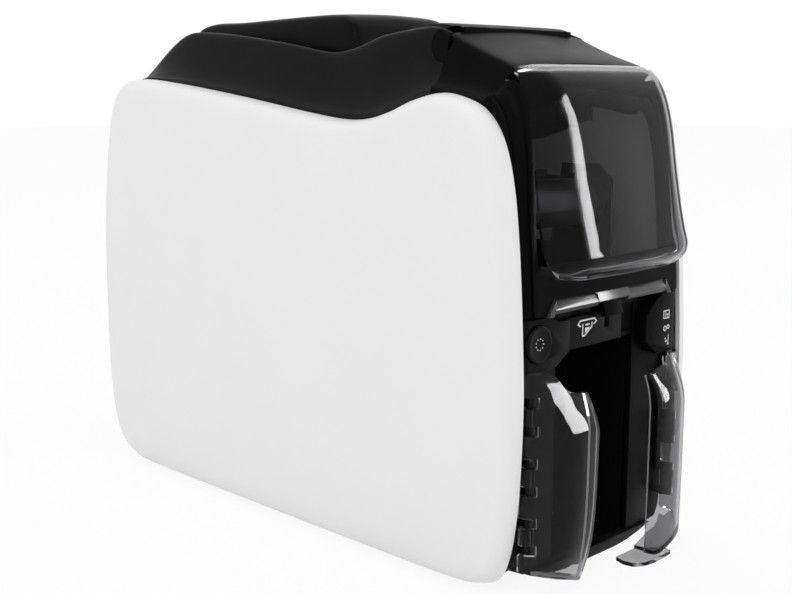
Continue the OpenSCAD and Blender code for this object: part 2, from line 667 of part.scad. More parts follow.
// Base tray with side walls that stand against the rims of the panels
module base_frame() {
    color(black) {
        difference() {
            block([-core_hw, -143.4, 5], [core_hw, rear_plate_y, 40]);
            block([-core_hw + 2.6, -100, 8], [core_hw - 2.6, rear_plate_y - 2.6, 41]);
            block([-core_hw + 2.6, -144, 8], [core_hw - 2.6, -103, 41]);
            block([-bay_hw - 1.8, -150, 5.4], [bay_hw + 1.8, -103.8, 60]);
            block([-core_hw - 1, -150, 27], [core_hw + 1, -132, 60]);
            block([-40, rear_plate_y - 4, 26], [40, rear_plate_y + 1, 41]);
            both_sides() x_plate(bay_hw + 4, core_hw + 1) polygon([[-144, 4], [-130, 4], [-144, 11]]);
        }
        difference() {
            y_plate(-149.8, -143.4) polygon([[-50, 9.2], [-40, 6.6], [-30, 4.8], [-20, 4], [20, 4],
                [30, 4.8], [40, 6.6], [50, 9.2]]);
            block([-bay_hw - 1.8, -144, 5.4], [bay_hw + 1.8, -143, 10]);
        }
    }
}

module rubber_feet() {
    color(rubber) both_sides() for (y = [-72, 122]) translate([52, y, 0]) difference() {
        cylinder(r = 8, h = 5);
        translate([0, 0, -1]) cylinder(r = 2.2, h = 3);
    }
}

// Rear plate with openings for the sockets, a lock slot and air slots
rear_plate_y = 155;
usb_at = [-30, 34];
lan_at = [-4, 34];
power_at = [24, 34];
lock_at = [44, 34];

module rear_panel() {
    color(black) difference() {
        y_plate(rear_plate_y, rear_plate_y + 3) polygon([[-62.4, 14], [-56, 6], [56, 6],
            [62.4, 14], [62.4, 226], [57, 232.4], [-57, 232.4], [-62.4, 226]]);
        block([usb_at[0] - 6.2, 150, usb_at[1] - 5.6], [usb_at[0] + 6.2, 170, usb_at[1] + 5.6]);
        block([lan_at[0] - 8.2, 150, lan_at[1] - 7], [lan_at[0] + 8.2, 170, lan_at[1] + 7]);
        translate([power_at[0], 170, power_at[1]]) rotate([90, 0, 0]) cylinder(r = 5.2, h = 20);
        block([lock_at[0] - 3.5, 150, lock_at[1] - 1.5], [lock_at[0] + 3.5, 170, lock_at[1] + 1.5]);
        for (z = [150:8:198]) block([-40, 150, z], [40, 170, z + 3.4]);
    }
}

socket_y0 = rear_plate_y - 11;
socket_y1 = rear_plate_y + 2.4;

module rear_sockets() {
    color(steel) {
        difference() {
            block([usb_at[0] - 6, socket_y0, usb_at[1] - 5.4],
                [usb_at[0] + 6, socket_y1, usb_at[1] + 5.4]);
            block([usb_at[0] - 4.2, socket_y0 + 3, usb_at[1] - 3.8],
                [usb_at[0] + 4.2, socket_y1 + 1, usb_at[1] + 3.8]);
        }
        difference() {
            block([lan_at[0] - 8, socket_y0, lan_at[1] - 6.8],
                [lan_at[0] + 8, socket_y1, lan_at[1] + 6.8]);
            block([lan_at[0] - 5.9, socket_y0 + 2, lan_at[1] - 4.4],
                [lan_at[0] + 5.9, socket_y1 + 1, lan_at[1] + 4.6]);
        }
    }
    color(black) translate([power_at[0], socket_y1, power_at[1]]) rotate([90, 0, 0])
        difference() {
            cylinder(r = 5, h = socket_y1 - socket_y0);
            translate([0, 0, -1]) cylinder(r = 3.2, h = 12);
        }
    color(steel) translate([power_at[0], socket_y1 - 2, power_at[1]]) rotate([90, 0, 0])
        cylinder(r = 1, h = 9.6);
}

board_y = socket_y0 - 1.6;

module main_board() {
    color(green) block([-46, board_y, 22], [46, socket_y0, 108]);
    color(dark) {
        block([-24, board_y - 4, 60], [-4, board_y, 80]);
        block([8, board_y - 3, 62], [22, board_y, 72]);
        block([8, board_y - 3, 80], [18, board_y, 96]);
    }
    color(steel) for (x = [-38, -30]) translate([x, board_y, 98]) rotate([90, 0, 0])
        cylinder(r = 3, h = 7);
    color(black) both_sides() block([40, socket_y0, 96], [45, rear_plate_y, 102]);
}

module case_screws() {
    color(steel) both_sides() for (z = [22, 208]) translate([56, rear_plate_y + 3, z])
        rotate([-90, 0, 0]) difference() {
            cylinder(r = 3, h = 1.8);
            for (a = [0, 90]) rotate([0, 0, a]) translate([-2, -0.4, 0.8]) cube([4, 0.8, 2]);
        }
}

// Mechanism: two steel plates carry the rollers, the gears and the ribbon frame
plate_x = 40;
plate_t = 1.4;
roller_y = [for (i = [0:3]) -100 + i * roller_pitch];
idler_y = [for (i = [0:2]) -80 + i * roller_pitch];
roller_z = path_z - roller_r;
motor_z = roller_z - gear_m * (idler_teeth + pinion_teeth) / 2;
pinch_z = path_z + 6.4;
supply_at = [-34, 182];
takeup_at = [-114, 176];
bush_r = 4.6;
journal_r = 3;
gear_x = [-51, -45];
head_axis = [-84, 136];

module mechanism_outline() {
    difference() {
        polygon([[-126, 96], [-126, 186], [-118, 194], [-96, 194], [-88, 152], [-60, 152],
            [-50, 196], [-20, 196], [-14, 124], [4, 124], [30, 112], [30, 60], [-80, 60],
            [-84, 96]]);
        for (y = roller_y) translate([y, roller_z]) circle(bush_r);
        for (y = [roller_y[0], roller_y[2]]) translate([y, pinch_z]) circle(2.05);
        for (p = [supply_at, takeup_at]) translate(p) circle(journal_r + 0.05);
        translate(head_axis) circle(2.05);
    }
}

module left_mechanism_plate() {
    color(steel) {
        difference() {
            x_plate(-plate_x - plate_t, -plate_x) mechanism_outline();
            x_rod(8, -60, -30, idler_y[1], motor_z);
        }
        block([-plate_x - plate_t, -70, 60], [-plate_x + 12, 30, 61.4]);
        for (y = idler_y) x_rod(2.5, gear_x[0] - 1, -plate_x - plate_t, y, roller_z);
    }
    color(steel) for (y = [-66, 24]) block([-plate_x + 2, y - 3, 8], [-plate_x + 10, y + 3, 60]);
}

module right_mechanism_plate() {
    color(steel) {
        x_plate(plate_x, plate_x + plate_t) mechanism_outline();
        block([plate_x - 12, -70, 60], [plate_x + plate_t, 30, 61.4]);
        for (y = [-66, 24]) block([plate_x - 10, y - 3, 8], [plate_x - 2, y + 3, 60]);
    }
}

// Rails that guide the edges of the card
module card_guides() {
    color(dark) both_sides() difference() {
        block([27.2, -142, path_z - 2.4], [plate_x, 5, path_z + 3]);
        block([26, -143, path_z], [28.4, 6, path_z + 1.2]);
        for (y = [roller_y[0], roller_y[2]])
            x_rod(4, 20, 50, y, pinch_z);
        block([26, supply_at[0] - 60, path_z + 2], [50, supply_at[0] - 8, path_z + 5]);
        for (y = roller_y) x_rod(bush_r + 1, 20, 50, y, roller_z);
        x_rod(roller_r + 0.5, 20, 29.6, roller_y[1], roller_z);
    }
}

module roller_bushes() {
    color("goldenrod") both_sides() for (y = roller_y)
        x_tube(bush_r, shaft_r + 0.05, plate_x, plate_x + 3, y, roller_z);
}

module drive_roller(i, half_l) {
    color(i == 1 ? [0.2, 0.2, 0.2] : [0.25, 0.25, 0.26])
        x_tube(roller_r, shaft_r, -half_l, half_l, roller_y[i], roller_z);
}

module roller_shaft(i) {
    color(steel) {
        x_rod(shaft_r, gear_x[0] - (i == 1 ? 9 : 1), plate_x + 4, roller_y[i], roller_z);
    }
}

// Corners of one gear tooth: angle in pitches and height over the pitch circle in modules
tooth_corners = [[-0.26, -1.05], [-0.1, 0.8], [0.1, 0.8], [0.26, -1.05]];

module spur_gear(teeth, bore, y, z, turn = 0) {
    x_plate(gear_x[0], gear_x[1]) translate([y, z]) difference() {
        polygon([for (i = [0:teeth - 1], c = tooth_corners)
            let (a = turn + 360 * (i + c[0]) / teeth, r = gear_m * (teeth / 2 + c[1]))
            [r * cos(a), r * sin(a)]]);
        circle(bore);
    }
}

module roller_gear(i) {
    color([0.85, 0.84, 0.78]) spur_gear(roller_teeth, shaft_r, roller_y[i], roller_z);
}

module idler_gear(i) {
    color([0.8, 0.8, 0.75])
        spur_gear(idler_teeth, 2.55, idler_y[i], roller_z, turn = 180 / idler_teeth);
}

module platen_gear() {
    roller_gear(1);
    color([0.85, 0.84, 0.78]) x_tube(6.7, shaft_r, gear_x[0] - 8, gear_x[0], roller_y[1], roller_z);
}

motor_body = 17.5;

module motor_pinion() {
    color("goldenrod") spur_gear(pinion_teeth, 2, idler_y[1], motor_z);
    color(steel) x_rod(2, gear_x[0], -plate_x + 2, idler_y[1], motor_z);
}

module drive_motor() {
    color(dark) difference() {
        block([-plate_x, idler_y[1] - motor_body, motor_z - motor_body],
            [-plate_x + 26, idler_y[1] + motor_body, motor_z + 9]);
        x_rod(2.05, -plate_x - 1, -plate_x + 3, idler_y[1], motor_z);
    }
}

module pinch_roller(i) {
    color(steel) x_rod(2, -plate_x - plate_t - 1, plate_x + plate_t + 1, roller_y[i], pinch_z);
    color(rubber) for (x = [-20, 8]) x_tube(5, 2, x, x + 12, roller_y[i], pinch_z);
}

// Printhead: bracket on a pivot rod, heatsink and thermal bar over the platen
head_y = roller_y[1];
head_z = path_z + 1.6;

module printhead_bracket() {
    color(steel) {
        x_rod(2, -plate_x - plate_t - 1, plate_x + plate_t + 1, head_axis[0], head_axis[1]);
        difference() {
            both_sides() x_plate(31, 33) polygon([[head_axis[0] - 5, head_axis[1] - 5],
                [head_axis[0] + 4, head_axis[1] - 6], [head_y + 8, head_z + 14],
                [head_y + 8, head_z + 22], [head_axis[0], head_axis[1] + 5],
                [head_axis[0] - 5, head_axis[1] + 2]]);
            x_rod(2, -40, 40, head_axis[0], head_axis[1]);
        }
        block([-33, head_y - 8, head_z + 20.6], [33, head_y + 8, head_z + 22]);
    }
}

module printhead_heatsink() {
    color([0.6, 0.61, 0.63]) {
        block([-30.6, head_y - 7, head_z + 3], [30.6, head_y + 7, head_z + 7]);
        for (i = [0:5]) block([-30.6, head_y - 7 + i * 2.56, head_z + 7],
            [30.6, head_y - 5.8 + i * 2.56, head_z + 20.6]);
    }
}

module thermal_printhead() {
    color([0.75, 0.75, 0.7]) {
        block([-30.6, head_y - 7, head_z + 1.4], [30.6, head_y + 7, head_z + 3]);
        block([-27, head_y - 1.2, head_z], [27, head_y + 1.2, head_z + 1.4]);
    }
}

module spool(at, r) {
    color([0.85, 0.85, 0.86]) {
        x_rod(journal_r, -plate_x - plate_t - 1, plate_x + plate_t + 1, at[0], at[1]);
        x_tube(6, journal_r, -34, 34, at[0], at[1]);
        both_sides() x_tube(r + 2.4, 6, 31.4, 33, at[0], at[1]);
    }
    color([0.12, 0.12, 0.14]) x_tube(r, 6, -30, 30, at[0], at[1]);
}

module supply_spool() {
    spool(supply_at, supply_r);
}

module takeup_spool() {
    spool(takeup_at, takeup_r);
    color(steel) x_rod(journal_r, gear_x[0] - 9, -plate_x - plate_t - 1, takeup_at[0], takeup_at[1]);
}

pulley_r = 8.4;

module takeup_pulley() {
    color([0.85, 0.84, 0.78])
        x_tube(pulley_r, journal_r, gear_x[0] - 8, gear_x[0] - 1, takeup_at[0], takeup_at[1]);
}

// Closed belt around the pulley on the platen gear and the take-up pulley
module ribbon_belt() {
    gap = 0.3;
    band = 1.2;
    module loop(extra) {
        hull() {
            translate([roller_y[1], roller_z]) circle(6.7 + gap + extra);
            translate(takeup_at) circle(pulley_r + gap + extra);
        }
    }
    color(rubber) x_plate(gear_x[0] - 7, gear_x[0] - 2) difference() {
        loop(band);
        loop(0);
    }
}

// Ribbon cassette: side cheeks and bars that hold the two spools
module ribbon_frame() {
    color(grey) both_sides() x_plate(35, 37) difference() {
        polygon([[takeup_at[0] - 9, takeup_at[1] + 4], [takeup_at[0], takeup_at[1] + 10],
            [supply_at[0], supply_at[1] + 10], [supply_at[0] + 10, supply_at[1]],
            [supply_at[0] + 2, supply_at[1] - 10], [-58, 160], [-92, 160],
            [takeup_at[0] - 6, takeup_at[1] - 8]]);
        for (p = [supply_at, takeup_at]) translate(p) circle(journal_r + 0.3);
        polygon([[-98, 166], [-56, 166], [-52, 184], [-98, 182]]);
    }
    color(grey) for (y = [-86, -64]) block([-37, y - 2, 186.5], [37, y + 2, 190]);
}

left_side_panel();
right_side_panel();
hopper_housing();
hopper_well();
rear_panel();
base_frame();
rubber_feet();
front_bezel();
output_bay();
card_slot_plate();
left_control_panel();
right_status_panel();
power_button();
button_board();
cover_shell();
cover_window();
cover_grip();
cover_hinge_pins();
cover_latch();
hopper_lid();
hopper_lid_pins();
card_weight();
left_output_door();
right_output_door();
door_hinge_pins();
left_mechanism_plate();
right_mechanism_plate();
card_guides();
roller_bushes();
drive_roller(0, 24);  // exit_roller
drive_roller(1, 29);  // platen_roller
drive_roller(2, 24);  // feed_roller
drive_roller(3, 20);  // pick_roller
roller_shaft(0);  // exit_shaft
roller_shaft(1);  // platen_shaft
roller_shaft(2);  // feed_shaft
roller_shaft(3);  // pick_shaft
roller_gear(0);  // exit_gear
platen_gear();
roller_gear(2);  // feed_gear
roller_gear(3);  // pick_gear
idler_gear(0);  // front_idler_gear
idler_gear(1);  // middle_idler_gear
idler_gear(2);  // rear_idler_gear
motor_pinion();
drive_motor();
pinch_roller(0);  // exit_pinch_roller
pinch_roller(2);  // feed_pinch_roller
printhead_bracket();
printhead_heatsink();
thermal_printhead();
supply_spool();
takeup_spool();
takeup_pulley();
ribbon_belt();
ribbon_frame();
main_board();
rear_sockets();
case_screws();
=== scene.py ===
import json
import math

import bmesh
import bpy
import numpy as np
from mathutils import Matrix, Vector

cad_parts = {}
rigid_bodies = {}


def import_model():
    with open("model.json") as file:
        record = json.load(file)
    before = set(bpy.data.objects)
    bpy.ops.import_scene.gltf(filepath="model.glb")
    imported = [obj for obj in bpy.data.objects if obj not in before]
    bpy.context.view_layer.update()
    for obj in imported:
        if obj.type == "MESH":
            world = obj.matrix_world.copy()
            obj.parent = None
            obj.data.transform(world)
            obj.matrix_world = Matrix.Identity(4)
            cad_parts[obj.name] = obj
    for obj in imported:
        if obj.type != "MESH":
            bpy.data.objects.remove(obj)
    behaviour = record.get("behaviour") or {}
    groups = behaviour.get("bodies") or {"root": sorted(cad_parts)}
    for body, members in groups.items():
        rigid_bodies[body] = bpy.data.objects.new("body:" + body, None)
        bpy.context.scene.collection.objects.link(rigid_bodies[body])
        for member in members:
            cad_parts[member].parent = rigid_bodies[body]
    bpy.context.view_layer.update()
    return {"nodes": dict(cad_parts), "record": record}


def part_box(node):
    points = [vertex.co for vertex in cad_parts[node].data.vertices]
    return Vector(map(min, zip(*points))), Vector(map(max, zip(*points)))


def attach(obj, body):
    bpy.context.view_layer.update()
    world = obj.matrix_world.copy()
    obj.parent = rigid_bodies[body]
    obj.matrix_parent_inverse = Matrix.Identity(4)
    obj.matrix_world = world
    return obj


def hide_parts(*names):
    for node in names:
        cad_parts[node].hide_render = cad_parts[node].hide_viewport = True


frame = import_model()
NODES = frame["nodes"]
SLOT_OF = {s["node"]: s["material_slot"] for s in frame["record"]["subparts"]}
BODY_OF = {n: b for b, names in frame["record"]["behaviour"]["bodies"].items() for n in names}
MM = 0.001

bl_info = {
    "name": "Desktop card printer",
    "version": (1, 0, 0),
    "blender": (4, 5, 0),
    "location": "View3D > Sidebar > Card printer",
    "description": "Dresses the packed card printer with its shells, clear doors and finishes",
    "category": "Object",
}

# Sizes shared with the solids, in millimetres
BODY_W = 148
REAR_Y = 174
PANEL_Y = -156
PANEL_DEPTH = 11
CORE_HW = BODY_W / 2 - PANEL_DEPTH
FIT = 0.4
WALL = 2.5
SEAM_Z = 132
WELL_HW = 28.5
WELL_WALL = 2
WELL_Y = (8, 97)
COVER_AXIS = (-97, 252.5)
COVER_RELIEF_R = 8.6
LID_AXIS = (118.2, 257)
BODY_TOP = 271
# Hinge of the cover: arms of the housing, knuckles and barrel of the cover
ARM_X = (41, 45)
COVER_KNUCKLE_X = (36, 40)
COVER_PIN_R = 2.05
# Hinge of the lid: ears of the housing, eyes of the lid
EAR_X = (35, 38.6)
EYE_X = (28, 34)
LID_PIN_R = 1.55
# Hinges of the doors
DOOR_KNUCKLE_H = 8
DOOR_PIN_R = 1.56
SCREWS_AT = ((-56, 22), (56, 22), (-56, 208), (56, 208))


# Sizes and colours


class PrinterSizes(bpy.types.PropertyGroup):
    edge_bevel: bpy.props.FloatProperty(
        name="Edge rounding",
        description="Width of the small rounding on the moulded and stamped parts",
        default=0.0003,
        min=0.0001,
        max=0.0008,
        unit="LENGTH",
    )
    window_wall: bpy.props.FloatProperty(
        name="Window thickness",
        description="Wall thickness of the clear window in the cover",
        default=0.0022,
        min=0.0015,
        max=0.003,
        unit="LENGTH",
    )
    door_wall: bpy.props.FloatProperty(
        name="Door thickness",
        description="Wall thickness of the clear output doors",
        default=0.002,
        min=0.0015,
        max=0.0025,
        unit="LENGTH",
    )


class PrinterColours(bpy.types.PropertyGroup):
    panel: bpy.props.FloatVectorProperty(
        name="Side panels",
        description="Colour of the white side panels",
        default=(0.84, 0.84, 0.842),
        min=0,
        max=1,
        subtype="COLOR",
    )
    body: bpy.props.FloatVectorProperty(
        name="Body",
        description="Colour of the black body",
        default=(0.003, 0.003, 0.0032),
        min=0,
        max=1,
        subtype="COLOR",
    )
    clear: bpy.props.FloatVectorProperty(
        name="Clear parts",
        description="Tint of the smoked clear window and doors",
        default=(0.39, 0.39, 0.4),
        min=0,
        max=1,
        subtype="COLOR",
    )
    grip: bpy.props.FloatVectorProperty(
        name="Grip",
        description="Colour of the grip under the window",
        default=(0.035, 0.035, 0.037),
        min=0,
        max=1,
        subtype="COLOR",
    )


# Curves and meshes


def smooth(p0, p1, p2, p3, t):
    """Point on a smooth curve through p1 and p2."""
    return 0.5 * (
        2 * p1
        + (p2 - p0) * t
        + (2 * p0 - 5 * p1 + 4 * p2 - p3) * t * t
        + (3 * p1 - p0 - 3 * p2 + p3) * t**3
    )


def closed_curve(points, steps):
    p = np.array(points, float)
    n = len(p)
    return np.array(
        [
            smooth(p[i - 1], p[i], p[(i + 1) % n], p[(i + 2) % n], k / steps)
            for i in range(n)
            for k in range(steps)
        ]
    )


def open_curve(points, steps):
    p = np.array(points, float)
    n = len(p)
    rows = [
        smooth(p[max(i - 1, 0)], p[i], p[i + 1], p[min(i + 2, n - 1)], k / steps)
        for i in range(n - 1)
        for k in range(steps)
    ]
    return np.array(rows + [p[-1]])


def lookup(y, table):
    """Value at y of a table of pairs, straight between them."""
    t = np.array(table, float)
    return float(np.interp(y, t[:, 0], t[:, 1]))


def open_normals(c):
    """Normals of an open curve, on its left side."""
    n = len(c)
    out = []
    for i in range(n):
        t = c[min(i + 1, n - 1)] - c[max(i - 1, 0)]
        t = t / max(np.linalg.norm(t), 1e-6)
        out.append((-t[1], t[0]))
    return np.array(out)


def new_piece(name, verts, faces):
    """A mesh object in the scene from points in millimetres."""
    me = bpy.data.meshes.new(name)
    me.from_pydata([tuple(float(x) * MM for x in v) for v in verts], [], faces)
    me.validate()
    me.update()
    return placed(name, me)


def clean(ob, dist=1e-6):
    """Merge doubles and turn the faces outwards."""
    bm = bmesh.new()
    bm.from_mesh(ob.data)
    bmesh.ops.remove_doubles(bm, verts=bm.verts, dist=dist)
    bmesh.ops.recalc_face_normals(bm, faces=bm.faces)
    bm.to_mesh(ob.data)
    bm.free()
    ob.data.update()
    return ob


def shade(ob, angle=32):
    """Smooth shading, with sharp edges where the faces meet at more than the angle."""
    me = ob.data
    me.shade_smooth()
    me.set_sharp_from_angle(angle=math.radians(angle))
    return ob


def placed(name, me):
    """An object of the mesh in the scene."""
    ob = bpy.data.objects.new(name, me)
    bpy.context.scene.collection.objects.link(ob)
    return ob


def discard(ob):
    """Remove an object together with its mesh."""
    me = ob.data
    bpy.data.objects.remove(ob)
    if me.users == 0:
        bpy.data.meshes.remove(me)


def baked(ob):
    """The object with its modifiers turned into plain mesh."""
    bpy.context.view_layer.update()
    dg = bpy.context.evaluated_depsgraph_get()
    old = ob.data
    me = bpy.data.meshes.new_from_object(ob.evaluated_get(dg))
    ob.modifiers.clear()
    ob.data = me
    if old.users == 0:
        bpy.data.meshes.remove(old)
    return ob


def joined(name, obs):
    """One object made of several."""
    bm = bmesh.new()
    for o in obs:
        bm.from_mesh(o.data)
    me = bpy.data.meshes.new(name)
    bm.to_mesh(me)
    bm.free()
    for o in obs:
        discard(o)
    return placed(name, me)


def cut(ob, tools, operation="DIFFERENCE"):
    """Take the tools away from the object, or keep what they share with it."""
    for t in tools:
        m = ob.modifiers.new("cut", "BOOLEAN")
        m.operation = operation
        m.solver = "MANIFOLD"
        m.object = t
        baked(ob)
        discard(t)
    return ob


def refined(grid, along, across):
    """A grid of points with smooth steps between its rows and between its columns."""
    g = np.array(grid, float)
    rows, cols = g.shape[:2]
    g = open_curve(g.reshape(rows, -1), along).reshape(-1, cols, 3).transpose(1, 0, 2)
    return open_curve(g.reshape(cols, -1), across).reshape(-1, g.shape[1], 3).transpose(1, 0, 2)


def skin(name, outer, inner, along=1, across=1):
    """Closed solid between an outer and an inner skin, each rows of points."""
    outer, inner = refined(outer, along, across), refined(inner, along, across)
    rows, cols = outer.shape[:2]
    n = rows * cols
    verts = np.concatenate([outer.reshape(-1, 3), inner.reshape(-1, 3)])
    faces = []
    for r in range(rows - 1):
        for c in range(cols - 1):
            i = r * cols + c
            faces.append((i, i + 1, i + cols + 1, i + cols))
            faces.append((n + i, n + i + cols, n + i + cols + 1, n + i + 1))
    last = (rows - 1) * cols
    for c in range(cols - 1):
        faces.append((c + 1, c, n + c, n + c + 1))
        faces.append((last + c, last + c + 1, n + last + c + 1, n + last + c))
    for r in range(rows - 1):
        i, j = r * cols, r * cols + cols - 1
        faces.append((i, i + cols, n + i + cols, n + i))
        faces.append((j + cols, j, n + j, n + j + cols))
    return clean(new_piece(name, verts, faces))


def prism(name, outline, lo, hi, axis):
    """Plate with an outline in the plane across an axis: x takes (y, z) and y takes (x, z)."""
    place = {
        "x": lambda a, b, c: (c, a, b),
        "y": lambda a, b, c: (a, c, b),
        "z": lambda a, b, c: (a, b, c),
    }[axis]
    n = len(outline)
    verts = [place(a, b, lo) for a, b in outline] + [place(a, b, hi) for a, b in outline]
    faces = [tuple(range(n)), tuple(range(2 * n - 1, n - 1, -1))]
    faces += [(i, (i + 1) % n, n + (i + 1) % n, n + i) for i in range(n)]
    return clean(new_piece(name, verts, faces))


def box(name, lo, hi):
    x0, y0, z0 = lo
    x1, y1, z1 = hi
    return prism(name, [(x0, y0), (x1, y0), (x1, y1), (x0, y1)], z0, z1, "z")


def circle(cx, cy, r, n=48):
    return [
        (cx + r * math.cos(2 * math.pi * i / n), cy + r * math.sin(2 * math.pi * i / n))
        for i in range(n)
    ]


def span(side, ends):
    """The stretch between two distances from the middle, on one side of the printer."""
    return sorted((side * ends[0], side * ends[1]))


def rod(name, r, lo, hi, a, b, axis="x", n=48):
    return prism(name, circle(a, b, r, n), lo, hi, axis)


def tube(name, r, bore, lo, hi, a, b, axis="x", n=64):
    """Ring along an axis with a bore."""
    place = {
        "x": lambda p, q, c: (c, p, q),
        "y": lambda p, q, c: (p, c, q),
        "z": lambda p, q, c: (p, q, c),
    }[axis]
    loops = [circle(a, b, r, n), circle(a, b, bore, n)]
    verts = [place(p, q, c) for c in (lo, hi) for lp in loops for p, q in lp]
    faces = []
    for i in range(n):
        j = (i + 1) % n
        faces.append((i, j, 2 * n + j, 2 * n + i))
        faces.append((n + j, n + i, 3 * n + i, 3 * n + j))
        faces.append((j, i, n + i, n + j))
        faces.append((2 * n + i, 2 * n + j, 3 * n + j, 3 * n + i))
    return clean(new_piece(name, verts, faces))


def mirrored(ob, name):
    """Copy of the object on the other side of the printer."""
    me = ob.data.copy()
    me.transform(Matrix.Scale(-1, 4, (1, 0, 0)))
    me.flip_normals()
    return placed(name, me)


def finish_piece(ob, material, body, nodes=()):
    """Give a piece its finish, its body and the nodes it stands for."""
    ob.data.materials.clear()
    ob.data.materials.append(material)
    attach(ob, body)
    if nodes:
        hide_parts(*nodes)
    return ob


# Finishes


def node_tree(name):
    mat = bpy.data.materials.new(name)
    mat.use_nodes = True
    nt = mat.node_tree
    bsdf = nt.nodes["Principled BSDF"]
    return mat, nt, bsdf


def object_coords(nt):
    return nt.nodes.new("ShaderNodeTexCoord").outputs["Object"]


def noise_at(nt, coords, scale, detail=2):
    noise = nt.nodes.new("ShaderNodeTexNoise")
    noise.inputs["Scale"].default_value = scale
    noise.inputs["Detail"].default_value = detail
    nt.links.new(coords, noise.inputs["Vector"])
    return noise.outputs["Fac"]


def grain_bump(nt, bsdf, coords, scale, height, strength=0.5):
    """Fine moulded grain on the surface."""
    bump = nt.nodes.new("ShaderNodeBump")
    bump.inputs["Strength"].default_value = strength
    bump.inputs["Distance"].default_value = height
    nt.links.new(noise_at(nt, coords, scale), bump.inputs["Height"])
    nt.links.new(bump.outputs["Normal"], bsdf.inputs["Normal"])


def varied(nt, bsdf, coords, socket, low, high, scale):
    """A slow change of one value over the surface."""
    ramp = nt.nodes.new("ShaderNodeMapRange")
    ramp.inputs["From Min"].default_value = 0.3
    ramp.inputs["From Max"].default_value = 0.7
    ramp.inputs["To Min"].default_value = low
    ramp.inputs["To Max"].default_value = high
    nt.links.new(noise_at(nt, coords, scale, 3), ramp.inputs["Value"])
    nt.links.new(ramp.outputs["Result"], bsdf.inputs[socket])


def tinted(nt, bsdf, coords, colour, spread, scale):
    """Base colour with a slight drift."""
    ramp = nt.nodes.new("ShaderNodeValToRGB")
    lo = [max(0, c * (1 - spread)) for c in colour]
    hi = [min(1, c * (1 + spread)) for c in colour]
    ramp.color_ramp.elements[0].position = 0.35
    ramp.color_ramp.elements[1].position = 0.65
    ramp.color_ramp.elements[0].color = (*lo, 1)
    ramp.color_ramp.elements[1].color = (*hi, 1)
    nt.links.new(noise_at(nt, coords, scale), ramp.inputs["Fac"])
    nt.links.new(ramp.outputs["Color"], bsdf.inputs["Base Color"])


def plastic(
    name,
    colour,
    rough=(0.3, 0.36),
    grain=900,
    height=0.00002,
    spec=0.5,
    spread=0.03,
    coat=0.0,
):
    mat, nt, bsdf = node_tree(name)
    co = object_coords(nt)
    tinted(nt, bsdf, co, colour, spread, 14)
    varied(nt, bsdf, co, "Roughness", rough[0], rough[1], 40)
    bsdf.inputs["Specular IOR Level"].default_value = spec
    bsdf.inputs["Coat Weight"].default_value = coat
    bsdf.inputs["Coat Roughness"].default_value = 0.08
    if height:
        grain_bump(nt, bsdf, co, grain, height)
    return mat


def metal(name, colour, rough=(0.25, 0.4), stretch=(1, 1, 1), grain=300):
    mat, nt, bsdf = node_tree(name)
    co = object_coords(nt)
    mapping = nt.nodes.new("ShaderNodeMapping")
    mapping.inputs["Scale"].default_value = stretch
    nt.links.new(co, mapping.inputs["Vector"])
    tinted(nt, bsdf, mapping.outputs["Vector"], colour, 0.08, 60)
    varied(nt, bsdf, mapping.outputs["Vector"], "Roughness", rough[0], rough[1], grain)
    bsdf.inputs["Metallic"].default_value = 1.0
    grain_bump(nt, bsdf, mapping.outputs["Vector"], grain, 0.00001, 0.3)
    return mat


def clear(name, colour, ior):
    mat, nt, bsdf = node_tree(name)
    co = object_coords(nt)
    tinted(nt, bsdf, co, colour, 0.02, 20)
    bsdf.inputs["Roughness"].default_value = 0.02
    bsdf.inputs["IOR"].default_value = ior
    bsdf.inputs["Transmission Weight"].default_value = 1.0
    return mat


FINISH = {}


